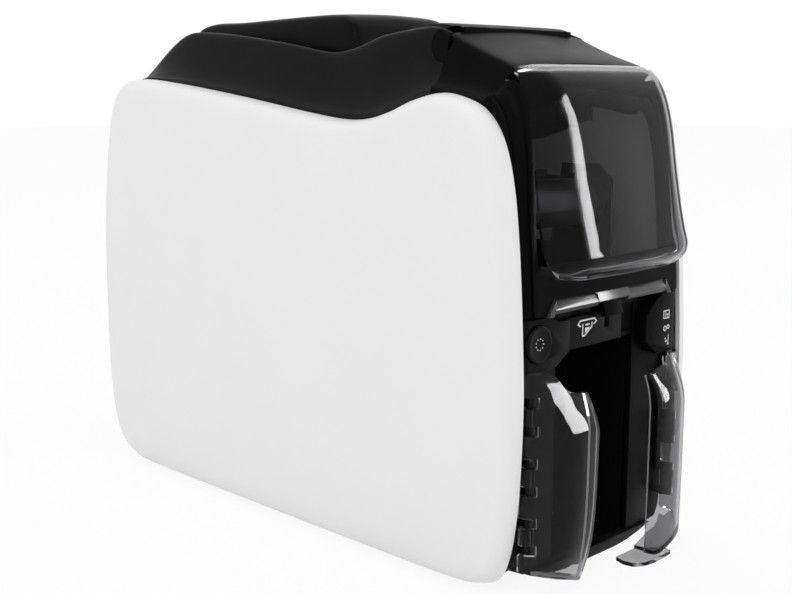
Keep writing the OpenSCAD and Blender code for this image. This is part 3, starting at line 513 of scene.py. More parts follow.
def make_finishes():
    """Every finish under the name of its material slot, or under a name of its own."""
    c = bpy.context.scene.printer_colours
    # Colour, roughness from and to, scale and height of the grain, specular, drift, coat
    plastics = {
        "white_panel": ("white satin panel", c.panel, (0.36, 0.42), 1400, 0.000003, 0.3, 0.006),
        "black_body": ("black satin body", c.body, (0.36, 0.44), 0, 0, 0.08),
        "black_gloss": ("black cover", c.body, (0.28, 0.34), 0, 0, 0.03),
        "lid_black": ("black lid", c.body, (0.3, 0.38), 1500, 0.0000012, 0.06),
        "dark_inner": ("dark inner plastic", (0.004, 0.004, 0.0042), (0.45, 0.55), 0, 0, 0.06),
        "bay_dark": ("output bay plastic", (0.003, 0.003, 0.0032), (0.4, 0.5), 0, 0, 0.04),
        "slot_satin": (
            "slot plate plastic", (0.009, 0.009, 0.0094), (0.34, 0.42), 1200, 0.000001, 0.06
        ),
        "panel_black": (
            "black control panel", (0.004, 0.004, 0.0042), (0.24, 0.32), 1500, 0.000001, 0.05
        ),
        "button_black": (
            "black button", (0.003, 0.003, 0.0032), (0.16, 0.22), 1500, 0.000001, 0.08
        ),
        "grip_grey": ("grey grip", c.grip, (0.24, 0.32), 1200, 0.000001, 0.22),
        # frame_dark is the finish of the ribbon frame inside, darkened as painted shade
        "frame_dark": (
            "ribbon frame plastic", (0.02, 0.02, 0.021), (0.3, 0.4), 1200, 0.00001, 0.3
        ),
        "feet_rubber": ("rubber feet", (0.02, 0.02, 0.02), (0.7, 0.85), 700, 0.00005),
        "roller_rubber": ("roller rubber", (0.03, 0.03, 0.032), (0.6, 0.75), 500, 0.00004),
        "gear_cream": ("gear nylon", (0.62, 0.59, 0.5), (0.4, 0.5), 500, 0.00001),
        "head_ceramic": ("head ceramic", (0.55, 0.53, 0.48), (0.4, 0.5)),
        "ribbon_dark": (
            "ribbon film", (0.012, 0.012, 0.014), (0.14, 0.2), 300, 0.00001, 0.4, 0.03, 0.1
        ),
        "motor_black": ("motor case", (0.015, 0.015, 0.016), (0.4, 0.5), 600, 0.00002),
        "board_green": ("circuit board", (0.01, 0.09, 0.04), (0.3, 0.4), 400, 0.00002),
        "icon_white": ("printed marks", (0.75, 0.75, 0.75), (0.4, 0.5), 0, 0),
    }
    # Colour, roughness from and to, stretch of the brushing
    metals = {
        "bush_brass": ("brass", (0.75, 0.55, 0.26)),
        "steel": ("steel", (0.55, 0.56, 0.58), (0.28, 0.42), (1, 8, 1)),
        # dark_steel and plate_dark are darker copies of steel; on the parts inside the darkness is
        # painted shade
        "dark_steel": ("dark steel", (0.015, 0.015, 0.016), (0.4, 0.5), (1, 8, 1)),
        "plate_dark": ("steel darkened as painted shade", (0.12, 0.12, 0.125), (0.4, 0.5), (1, 8, 1)),
        "heatsink": ("extruded aluminium", (0.6, 0.61, 0.63), (0.35, 0.5), (1, 10, 10)),
    }
    # Refraction, low where the photograph shows weak reflections
    clears = {
        "smoked_clear": ("smoked clear plastic", 1.45),
        "window_clear": ("clear window", 1.17),
        "door_clear": ("clear doors", 1.22),
    }
    FINISH.update({slot: plastic(*values) for slot, values in plastics.items()})
    FINISH.update({slot: metal(*values) for slot, values in metals.items()})
    FINISH.update({slot: clear(name, c.clear, ior) for slot, (name, ior) in clears.items()})


# Parts inside that are darker than their kind elsewhere: painted shade, the dark inside of the
# printer given as darker finishes
INSIDE_SHADE_FINISH = {
    "ribbon_frame": "frame_dark",
    "left_mechanism_plate": "plate_dark",
    "right_mechanism_plate": "plate_dark",
    "printhead_bracket": "plate_dark",
    "cover_hinge_pins": "dark_steel",
}

# Shapes of the shells, the same curves as the solids but finer

PANEL_RIM = [
    (PANEL_Y + 12, 10), (PANEL_Y + 22, 5), (PANEL_Y + 40, 2.5), (-60, 2), (40, 2),
    (REAR_Y - 44, 2.5), (REAR_Y - 24, 5), (REAR_Y - 12, 13), (REAR_Y - 5, 28),
    (REAR_Y - 1.5, 47), (REAR_Y, 68), (REAR_Y, 102), (REAR_Y - 1, 142), (REAR_Y - 4, 172),
    (REAR_Y - 8.5, 199), (REAR_Y - 15, 221), (REAR_Y - 25, 233.5), (REAR_Y - 41, 237),
    (REAR_Y - 80, 234), (40, 227.5), (-14, 220), (PANEL_Y + 114, 217), (PANEL_Y + 96, 218),
    (PANEL_Y + 80, 222), (PANEL_Y + 66, 227), (PANEL_Y + 51, 230), (PANEL_Y + 38, 228.5),
    (PANEL_Y + 24, 223), (PANEL_Y + 14, 211), (PANEL_Y + 8, 192), (PANEL_Y + 4.5, 166),
    (PANEL_Y + 2, 132), (PANEL_Y + 0.5, 95), (PANEL_Y + 1.5, 60), (PANEL_Y + 3.5, 38),
    (PANEL_Y + 6.5, 22),
]
OUTER_STEPS = [(1, 12), (0.94, 7.2), (0.8, 3.8), (0.55, 1.4), (0.25, 0.3), (0, 0)]
INNER_STEPS = [(0, 2.4), (0.3, 2.8), (0.56, 4.4), (0.72, 7.8), (0.77, 12.5)]
PANEL_TOP = [
    (-97, 229), (-90, 227), (-76, 222), (-60, 218), (-42, 216.8), (-14, 219.8), (40, 227.3),
    (94, 233.8), (133, 236.8), (149, 233.6), (156, 228),
]
RIM_TOP = [
    (-97, 257.8), (-91, 259.7), (-84, 260.4), (-70, 259.3), (-52, 257), (-36, 252.5),
    (-20, 250), (-6, 251.2), (14, 254.5), (40, 258), (70, 261.5), (96, 263.2), (108, 262.3),
    (119, 258), (130, 251.5), (141, 244), (154.6, 235),
]
DECK_Z = [
    (-97, 260), (-91, 261.7), (-84, 262.3), (-70, 260.8), (-56, 256.6), (-46, 250.5),
    (-36, 245.5), (-20, 244.2), (-6, 245), (14, 247.5), (40, 250.4), (70, 253.4),
    (96, 255.2), (108, 255.2), (119, 252.6), (130, 248.5), (141, 242.5), (155, 234.2),
]
FLARE = [
    (0, CORE_HW - FIT), (0.12, CORE_HW - 4), (0.3, CORE_HW - 7.4), (0.55, CORE_HW - 9.8),
    (0.82, CORE_HW - 11.2), (0.96, CORE_HW - 12.6), (1, CORE_HW - 14.6),
]
SKIRT = 14
COVER_LINE = [
    (-98, 257, 26, 0), (-107, 253, 23.4, 0), (-118, 248.6, 20.4, 0), (-129, 244.8, 18.6, 0.1),
    (-137, 241.6, 17.4, 0.25), (-142.4, 237.4, 14.6, 0.4), (-146.2, 230, 11.4, 0.5),
    (-148.8, 220.5, 8.6, 0.65), (-150.8, 207, 6.8, 0.8), (-152.4, 190, 5.8, 0.9),
    (-153.6, 172, 5.2, 1), (-154.8, 156, 5, 1), (-155.8, 143, 4.8, 1),
    (-156.4, SEAM_Z + 0.6, 4.6, 1),
]
COVER_FLANGE = 9
FLANGE_ANGLE = [
    (130, -6), (190, -6), (207, -8), (220.5, -12), (230, -50), (237.4, -53), (241.6, -56),
    (244.8, -68), (248.6, -70), (257, -66),
]
SHOULDER_GROW = 6.5
CORNER = (4, 7)
WINDOW_HW = 53.6
WINDOW_BOTTOM_Z = 154
WINDOW_HOLE = [
    (-190, WINDOW_BOTTOM_Z), (-146, WINDOW_BOTTOM_Z), (-144, 180), (-140, 214), (-135.4, 230),
    (-134.4, 236), (-138, 239.6), (-138, 245), (-190, 245),
]
WINDOW_BASE = [
    (-138.6, 241), (-141, 238.6), (-144.4, 232), (-147.6, 221), (-150.4, 207), (-152.6, 192),
    (-154.6, 176), (-156.4, 165), (-158.6, 158), (-160.4, 152.6), (-160.6, 149.4),
    (-157.4, 148.8),
]
WINDOW_FRONT = [
    (-139.8, 242.6), (-146.6, 240.6), (-152.6, 235), (-157.5, 226), (-161.2, 212),
    (-164.4, 194), (-168, 177), (-171, 165), (-172.8, 158.5), (-171.2, 152.6), (-165, 147.6),
    (-158.6, 147),
]
WINDOW_HALF = [0, 0, 0, 0, 0, 0.4, 0.8, 1, 1.2, 2.4, 7, 8]
WINDOW_STEPS = [
    (1, 0), (0.955, 0.2), (0.89, 0.5), (0.82, 0.78), (0.76, 0.93), (0.69, 1), (0.46, 1.05),
    (0.22, 1.08), (0, 1.1),
]
LID_TOP = [
    (-31, 247.9), (-27.6, 249.4), (-24.4, 252.4), (-21.6, 257), (-19.4, 262.2), (-17.8, 265),
    (-14.6, 268.4), (-9, 270.4), (2, BODY_TOP), (14, BODY_TOP), (45, BODY_TOP - 0.8),
    (78, BODY_TOP - 1.8), (98, BODY_TOP - 1.6), (110, 268.2), (117, 265.2), (120.3, 261),
]
LID_HW = 37
LID_WALL = 2
LID_UNDER = 0.8
LID_STEPS = [
    (1, 0), (0.992, 0.53), (0.965, 0.81), (0.91, 0.925), (0.8, 0.962), (0.5, 0.985), (0, 1),
]
DOOR_HINGE = (-58.4, -154.8)
DOOR_PLAN = [
    (-61.8, -152.2, 107, 15), (-61.4, -155.4, 107, 15), (-58.8, -159.8, 107, 14),
    (-54, -164.6, 107, 12.6), (-49.6, -168, 106.6, 11.2), (-46.2, -169.8, 105, 10),
    (-42.4, -171, 100.4, 8.8), (-38, -171.7, 97, 7.4), (-32.4, -171.7, 95.8, 5.4),
    (-27.8, -171.2, 95, 3.8), (-25.4, -169.8, 94.4, 3), (-24.5, -167.4, 94, 2.8),
    (-24.2, -164, 93.6, 2.6),
]
DOOR_LEVELS = [0, 0.05, 0.13, 0.26, 0.42, 0.6, 0.74, 0.82, 0.89, 0.95, 1]
DOOR_LEAN = [
    (2, 0.44), (6, 0.53), (12, 0.65), (20, 0.79), (32, 0.91), (50, 0.98), (79, 1), (86, 0.87),
    (92, 0.66), (98, 0.46), (107, 0.38),
]
RIGHT_LEAN = [
    (2, 0.96), (6, 0.97), (20, 0.98), (50, 1), (79, 1), (86, 0.91), (92, 0.72), (97, 0.5),
    (101, 0.42),
]
DOOR_TOP = 107
RIGHT_TOP = 101
DOOR_FOLD_Y = -153.6
DOOR_FLOOR_Y = -157.4
DOOR_KNUCKLES = (28, 56, 84)


def both_halves(half):
    """A half section from the outside to the middle, and its mirror image."""
    half = np.array(half, float)
    return np.concatenate([half, half[-2::-1] * np.array([-1, 1, 1])])


def side_panel_skin():
    """White panel: rings from the flat face over the rounded edge, round the rim and back in."""
    rim = closed_curve(PANEL_RIM, 8)
    n = len(rim)
    t = np.roll(rim, -1, 0) - np.roll(rim, 1, 0)
    t /= np.linalg.norm(t, axis=1)[:, None]
    normal = np.stack([t[:, 1], -t[:, 0]], 1)
    under = 1 + 0.8 * np.maximum(0, -normal[:, 1]) ** 2
    outer = open_curve(OUTER_STEPS, 5)
    inner = open_curve(INNER_STEPS, 3)
    rings = []
    for depth, inset in list(outer) + list(inner):
        p = rim - normal * (inset * under)[:, None]
        x = np.full((n, 1), CORE_HW + min(max(depth, 0), 1) * PANEL_DEPTH)
        rings.append(np.concatenate([x, p], 1))
    m = len(rings)
    verts = list(np.concatenate(rings))
    faces = []
    for r in range(m - 1):
        for c in range(n):
            a, b = r * n + c, r * n + (c + 1) % n
            faces.append((a, b, b + n, a + n))
    faces.append(tuple(range(n)))
    faces.append(tuple((m - 1) * n + c for c in range(n - 1, -1, -1)))
    return clean(new_piece("right_side_panel_shell", verts, faces))


def offset_in(half):
    """The section moved inwards by the wall, square at both ends."""
    moved = half + open_normals(half) * WALL
    moved[0] = half[0] - (WALL, 0)
    moved[-1] = half[-1] - (0, WALL)
    return moved


def housing_section(y, top, inside):
    p, d = lookup(y, PANEL_TOP), lookup(y, DECK_Z)
    half = [(CORE_HW - FIT, p - SKIRT)] + [(x, p + k * (top - p)) for k, x in FLARE]
    half += [
        (CORE_HW - 16.5, min(top - 0.8, d + 8)),
        (CORE_HW - 18, d + 0.8 * min(3, top - d)),
        (CORE_HW - 21, d),
        (22, d + 0.2),
        (0, d + 0.3),
    ]
    half = np.array(half, float)
    if inside:
        half = offset_in(half)
    return both_halves([(x, y, z) for x, z in half])


def cover_rows(inside):
    line = open_curve(COVER_LINE, 2)
    n = len(line)
    rows = []
    for i, s in enumerate(line):
        t = line[min(i + 1, n - 1)][:2] - line[max(i - 1, 0)][:2]
        t /= np.linalg.norm(t)
        normal = np.array([t[1], -t[0]])
        side, square = s[2:]
        half = [(CORE_HW - FIT, -side - COVER_FLANGE)]
        half += [
            (x + square * SHOULDER_GROW * k * (1 if k < 0.99 else 0.6), side * (k - 1))
            for k, x in FLARE
        ]
        half += [(44, 0.5), (30, 1.3), (14, 1.8), (0, 2)]
        half = np.array(half, float)
        if inside:
            half = offset_in(half)
            a, b = CORNER
            for k in range(a + 1, b):
                half[k] = half[a] + (half[b] - half[a]) * (k - a) / (b - a)
        angle = math.radians(lookup(s[1], FLANGE_ANGLE))
        edge = s[:2] - normal * side + COVER_FLANGE * np.array([math.cos(angle), math.sin(angle)])
        row = [(x, *(s[:2] + normal * h)) for x, h in half]
        row[0] = (half[0][0], *edge)
        rows.append(both_halves(row))
    return rows


def window_rows(inside, wall=2.2):
    base, front = np.array(WINDOW_BASE, float), np.array(WINDOW_FRONT, float)
    n = len(base)
    rows = []
    for i in range(n):
        t = front[min(i + 1, n - 1)] - front[max(i - 1, 0)]
        t /= np.linalg.norm(t)
        inward = wall * np.array([-t[1], t[0]]) if inside else np.zeros(2)
        width = WINDOW_HW - WINDOW_HALF[i] - (wall / 2 if inside else 0)
        half = [
            (a * width, *(base[i] + b * (front[i] - base[i]) + inward)) for a, b in WINDOW_STEPS
        ]
        rows.append(both_halves(half))
    return rows


def lid_row(y, top, inside):
    base = max(lookup(y, DECK_Z) + LID_UNDER, LID_AXIS[1] - 1.2 if y > 109 else 0)
    w = LID_WALL if inside else 0
    h = top - base
    return both_halves([(a * (LID_HW - w), y, base + max(0, b * (h - w))) for a, b in LID_STEPS])


def door_outer(level, leans, top):
    plan = np.array(DOOR_PLAN, float)
    z = plan[:, 3] + level * (np.minimum(plan[:, 2], top) - plan[:, 3])
    lean = np.array([lookup(v, leans) for v in z])
    y = np.where(
        plan[:, 1] < DOOR_FOLD_Y, DOOR_FOLD_Y + (plan[:, 1] - DOOR_FOLD_Y) * lean, plan[:, 1]
    )
    return np.stack([plan[:, 0], y, z], 1)


def door_rows(inside, wall, leans, top):
    rows = []
    for level in DOOR_LEVELS:
        row = door_outer(level, leans, top)
        if inside:
            row[:, :2] += open_normals(row[:, :2]) * wall
        rows.append(row)
    return rows


def door_floor(rise, leans, top):
    c = door_outer(0, leans, top)[2:-2]
    front = c * (0.99, 1, 1) + (0, 0.7, 0.3 + rise)
    back = front.copy()
    back[:, 1] = DOOR_FLOOR_Y
    return [front, back]


# Pieces


class PRINTER_OT_side_panels(bpy.types.Operator):
    """Make the white side panels with their deep rounded edges"""

    bl_idname = "printer.side_panels"
    bl_label = "Side panels"

    def execute(self, context):
        right = side_panel_skin()
        left = mirrored(right, "left_side_panel_shell")
        for ob, node in ((right, "right_side_panel"), (left, "left_side_panel")):
            shade(ob, 50)
            finish_piece(ob, FINISH["white_panel"], "chassis", (node,))
        return {"FINISHED"}


def housing_skin(name, first=None):
    rows = [(a, b) for a, b in open_curve(RIM_TOP, 2)]
    if first:
        rows.insert(0, first)
    return skin(
        name,
        [housing_section(y, t, False) for y, t in rows],
        [housing_section(y, t, True) for y, t in rows],
        3,
        3,
    )


class PRINTER_OT_housing(bpy.types.Operator):
    """Make the black upper body with its raised rims, deck and finger basin"""

    bl_idname = "printer.housing"
    bl_label = "Hopper housing"

    def execute(self, context):
        ob = housing_skin("hopper_housing_shell")
        edge = WELL_HW + WELL_WALL
        cut(
            ob,
            [
                box(
                    "well_cut",
                    (-edge, WELL_Y[0] - WELL_WALL, 230),
                    (edge, WELL_Y[1] + WELL_WALL, 265),
                ),
                rod("hinge_cut", COVER_RELIEF_R, -70, 70, *COVER_AXIS, n=96),
            ],
        )
        shade(ob, 38)
        arms = []
        for side in (1, -1):
            arm = prism(
                "arm",
                [
                    (-97, COVER_AXIS[1] - 3.4), (-86, 246.5), (-79, 249), (-79, 261),
                    (-84, 261), (-86.5, 253), (-97, COVER_AXIS[1]),
                ],
                *span(side, ARM_X),
                "x",
            )
            knuckle = rod("knuckle", 3.4, *span(side, ARM_X), *COVER_AXIS)
            x0, x1 = span(side, EAR_X)
            ear = box(
                "ear", (x0, LID_AXIS[0] - 2.4, 251.4), (x1, LID_AXIS[0] + 2.4, LID_AXIS[1])
            )
            eye = rod("eye", 2.4, x0, x1, *LID_AXIS)
            arms += [shade(o) for o in (arm, knuckle, ear, eye)]
        ob = joined("hopper_housing_shell", [ob, *arms])
        finish_piece(ob, FINISH["black_body"], "chassis", ("hopper_housing",))
        return {"FINISHED"}


class PRINTER_OT_cover(bpy.types.Operator):
    """Make the black cover with its shoulders, the opening for the window and its hinge"""

    bl_idname = "printer.cover"
    bl_label = "Cover"

    def execute(self, context):
        ob = skin("cover_shell_skin", cover_rows(False), cover_rows(True), 3, 3)
        notch = [(-52, SEAM_Z - 3), (-45, SEAM_Z + 7.2), (45, SEAM_Z + 7.2), (52, SEAM_Z - 3)]
        cut(
            ob,
            [
                prism("window_cut", WINDOW_HOLE, -WINDOW_HW - 0.4, WINDOW_HW + 0.4, "x"),
                prism("notch_cut", notch, -190, -140, "y"),
                rod("barrel_cut", 3.8, -70, 70, *COVER_AXIS),
                box("rear_cut", (-70, -97.5, 200), (70, -60, COVER_AXIS[1] - 2.4)),
            ],
        )
        shade(ob, 38)
        barrel = tube("barrel", 5, 3.4, -36, 36, *COVER_AXIS)
        cut(barrel, [box("half", (-60, -110, 225), (60, -80, COVER_AXIS[1] - 1))])
        parts = [ob, shade(barrel)]
        for side in (1, -1):
            lo, hi = span(side, COVER_KNUCKLE_X)
            parts.append(shade(tube("knuckle", 4.6, COVER_PIN_R, lo, hi, *COVER_AXIS)))
        # The bridges close the rounded gap in the roof of the housing, beside the hinge arms
        for lo, hi in ((-64, -46.5), (-40.5, 40.5), (46.5, 64)):
            bridge = housing_skin("bridge", (-98.4, 257.3))
            barrel = rod("round", COVER_RELIEF_R - 0.3, lo, hi, *COVER_AXIS, n=96)
            cut(bridge, [barrel], "INTERSECT")
            parts.append(shade(bridge, 38))
        ob = joined("cover_shell_skin", parts)
        finish_piece(ob, FINISH["black_gloss"], "cover", ("cover_shell",))
        return {"FINISHED"}


class PRINTER_OT_window(bpy.types.Operator):
    """Make the clear window that bulges out of the cover"""

    bl_idname = "printer.window"
    bl_label = "Window"

    def execute(self, context):
        wall = context.scene.printer_sizes.window_wall / MM
        ob = skin("cover_window_clear", window_rows(False, wall), window_rows(True, wall), 5, 4)
        shade(ob, 40)
        finish_piece(ob, FINISH["window_clear"], "cover", ("cover_window",))
        return {"FINISHED"}


class PRINTER_OT_lid(bpy.types.Operator):
    """Make the hopper lid"""

    bl_idname = "printer.lid"
    bl_label = "Hopper lid"

    def execute(self, context):
        ob = skin(
            "hopper_lid_shell",
            [lid_row(*s, False) for s in LID_TOP],
            [lid_row(*s, True) for s in LID_TOP],
            4,
            4,
        )
        cut(
            ob,
            [
                box("cut", (34.6, 112, 240), (70, 130, LID_AXIS[1] + 3.4)),
                box("cut", (-70, 112, 240), (-34.6, 130, LID_AXIS[1] + 3.4)),
            ],
        )
        shade(ob, 38)
        parts = [ob]
        for side in (1, -1):
            x0, x1 = span(side, EYE_X)
            parts.append(shade(tube("eye", 3, LID_PIN_R, x0, x1, *LID_AXIS)))
            web = box("web", (x0, LID_AXIS[0] - 2.6, LID_AXIS[1] + 2), (x1, LID_AXIS[0] + 1.4, 262))
            parts.append(shade(web))
        ob = joined("hopper_lid_shell", parts)
        finish_piece(ob, FINISH["lid_black"], "hopper_lid", ("hopper_lid",))
        return {"FINISHED"}


def door_shell(name, wall, leans, top):
    ob = skin(name, door_rows(False, wall, leans, top), door_rows(True, wall, leans, top), 4, 4)
    cutters = []
    for z in DOOR_KNUCKLES:
        cutters.append(rod("gap", 4.6, z - 4.8, z - 0.1, *DOOR_HINGE, "z"))
        over = z + DOOR_KNUCKLE_H
        cutters.append(rod("gap", 4.6, over + 0.1, over + 4.8, *DOOR_HINGE, "z"))
    cut(ob, cutters)
    floor = skin("floor", door_floor(1.8, leans, top), door_floor(0, leans, top), 1, 3)
    parts = [shade(ob, 40), shade(floor, 40)]
    for z in DOOR_KNUCKLES:
        ring = tube("knuckle", 3.2, DOOR_PIN_R, z, z + DOOR_KNUCKLE_H, *DOOR_HINGE, "z")
        parts.append(shade(ring))
    return joined(name, parts)


class PRINTER_OT_doors(bpy.types.Operator):
    """Make the two clear output doors with their knuckles, floors and the foot lip"""

    bl_idname = "printer.doors"
    bl_label = "Output doors"

    def execute(self, context):
        wall = context.scene.printer_sizes.door_wall / MM
        left = door_shell("left_output_door_clear", wall, DOOR_LEAN, DOOR_TOP)
        other = door_shell("other", wall, RIGHT_LEAN, RIGHT_TOP)
        right = mirrored(other, "right")
        discard(other)
        cut(right, [box("cut", (52, -166, 100), (66, -148, 112))])
        lip = [
            (9.5, -157.4), (7.6, -163), (8.6, -168), (13, -171.4), (20, -172.4), (28, -172.4),
            (36, -171.6), (37, -168), (30, -162), (28, -157.4),
        ]
        right = joined(
            "right_output_door_clear", [shade(right, 40), shade(prism("lip", lip, 1.4, 3.4, "z"))]
        )
        for side, ob in (("left", left), ("right", right)):
            door = side + "_output_door"
            finish_piece(ob, FINISH["door_clear"], door, (door,))
        return {"FINISHED"}


# Front, foot and inside


def stroke(points, width, y, closed=False, raised=0.07):
    """Thin raised line along points in X and Z on a face at y."""
    p = np.array(points, float)
    n = len(p)
    sides = []
    for i in range(n):
        before = p[i] - p[i - 1] if i or closed else p[i + 1] - p[i]
        after = p[(i + 1) % n] - p[i] if i < n - 1 or closed else before
        before, after = before / np.linalg.norm(before), after / np.linalg.norm(after)
        middle = before + after
        middle /= np.linalg.norm(middle)
        across = np.array([-middle[1], middle[0]])
        reach = width / 2 / max(0.5, float(across @ np.array([-before[1], before[0]])))
        sides.append((p[i] + across * reach, p[i] - across * reach))
    verts = [(q[0], yy, q[1]) for l, r in sides for yy in (y - raised, y + 0.1) for q in (l, r)]
    faces = []
    for i in range(n if closed else n - 1):
        a, b = 4 * i, 4 * ((i + 1) % n)
        faces += [
            (a, a + 1, b + 1, b), (a + 2, b + 2, b + 3, a + 3), (a, b, b + 2, a + 2),
            (a + 1, a + 3, b + 3, b + 1),
        ]
    if not closed:
        e = 4 * (n - 1)
        faces += [(0, 2, 3, 1), (e, e + 1, e + 3, e + 2)]
    return clean(new_piece("stroke", verts, faces), 1e-7)


def patch(points, y, raised=0.07):
    """Thin raised patch with an outline in X and Z."""
    return prism("patch", points, y - raised, y + 0.1, "y")


def lathe(name, profile, x, z, n=96):
    """Turned shape about an axis along Y through x and z, from pairs of radius and y."""
    verts, faces = [], []
    m = len(profile)
    for k in range(n):
        a = 2 * math.pi * k / n
        verts += [(x + r * math.cos(a), y, z + r * math.sin(a)) for r, y in profile]
    for k in range(n):
        for i in range(m - 1):
            a, b = k * m + i, ((k + 1) % n) * m + i
            faces.append((a, a + 1, b + 1, b))
    return clean(new_piece(name, verts, faces))


def dressed(node, width, finish=None, angle=30):
    """Copy of a node with its flat faces merged, its edges rounded and its finish on."""
    me = NODES[node].data.copy()
    me.name = node + "_dressed"
    bm = bmesh.new()
    bm.from_mesh(me)
    bmesh.ops.remove_doubles(bm, verts=bm.verts, dist=2e-6)
    flat = math.radians(0.6)
    bmesh.ops.dissolve_limit(bm, angle_limit=flat, verts=bm.verts, edges=bm.edges)
    bm.to_mesh(me)
    bm.free()
    me.materials.clear()
    ob = placed(node + "_dressed", me)
    m = ob.modifiers.new("round", "BEVEL")
    m.width = width
    m.segments = 2
    m.limit_method = "ANGLE"
    m.angle_limit = math.radians(angle)
    m.use_clamp_overlap = True
    baked(ob)
    slot = SLOT_OF[node]
    return finish_piece(shade(ob, 40), FINISH[finish or slot], BODY_OF[node], (node,))


def repeat_tree():
    """Group that puts a template at every point, turned by the point's own angles."""
    nt = bpy.data.node_groups.new("repeat at points", "GeometryNodeTree")
    face = nt.interface
    face.new_socket(name="Geometry", in_out="INPUT", socket_type="NodeSocketGeometry")
    face.new_socket(name="Template", in_out="INPUT", socket_type="NodeSocketObject")
    size = face.new_socket(name="Size", in_out="INPUT", socket_type="NodeSocketFloat")
    size.default_value = 1.0
    face.new_socket(name="Finish", in_out="INPUT", socket_type="NodeSocketMaterial")
    face.new_socket(name="Geometry", in_out="OUTPUT", socket_type="NodeSocketGeometry")
    start, end = nt.nodes.new("NodeGroupInput"), nt.nodes.new("NodeGroupOutput")
    points = nt.nodes.new("GeometryNodeMeshToPoints")
    template = nt.nodes.new("GeometryNodeObjectInfo")
    turn = nt.nodes.new("GeometryNodeInputNamedAttribute")
    turn.data_type = "FLOAT_VECTOR"
    turn.inputs["Name"].default_value = "turn"
    place = nt.nodes.new("GeometryNodeInstanceOnPoints")
    real = nt.nodes.new("GeometryNodeRealizeInstances")
    paint = nt.nodes.new("GeometryNodeSetMaterial")
    link = nt.links.new
    link(start.outputs["Geometry"], points.inputs["Mesh"])
    link(points.outputs["Points"], place.inputs["Points"])
    link(start.outputs["Template"], template.inputs["Object"])
    link(template.outputs["Geometry"], place.inputs["Instance"])
    link(turn.outputs["Attribute"], place.inputs["Rotation"])
    link(start.outputs["Size"], place.inputs["Scale"])
    link(place.outputs["Instances"], real.inputs["Geometry"])
    link(real.outputs["Geometry"], paint.inputs["Geometry"])
    link(start.outputs["Finish"], paint.inputs["Material"])
    link(paint.outputs["Geometry"], end.inputs["Geometry"])
    return nt


def repeated(name, template, places, finish, size=1.0):
    """Plain mesh of the template repeated at places, each a point in millimetres and a turn."""
    nt = bpy.data.node_groups.get("repeat at points") or repeat_tree()
    ob = new_piece(name, [at for at, turn in places], [])
    attribute = ob.data.attributes.new("turn", "FLOAT_VECTOR", "POINT")
    for value, (at, turn) in zip(attribute.data, places):
        value.vector = turn
    sockets = {i.name: i.identifier for i in nt.interface.items_tree if i.in_out == "INPUT"}
    m = ob.modifiers.new("repeat", "NODES")
    m.node_group = nt
    m[sockets["Template"]] = template
    m[sockets["Size"]] = size
    m[sockets["Finish"]] = finish
    baked(ob)
    discard(template)
    return shade(ob, 35)


BUTTON = (-53, 120)
STATUS_Y = -155
SLOT_Y = -151.6


def ring(cx, cz, r, width, y, n=28):
    return stroke(circle(cx, cz, r, n), width, y, closed=True)


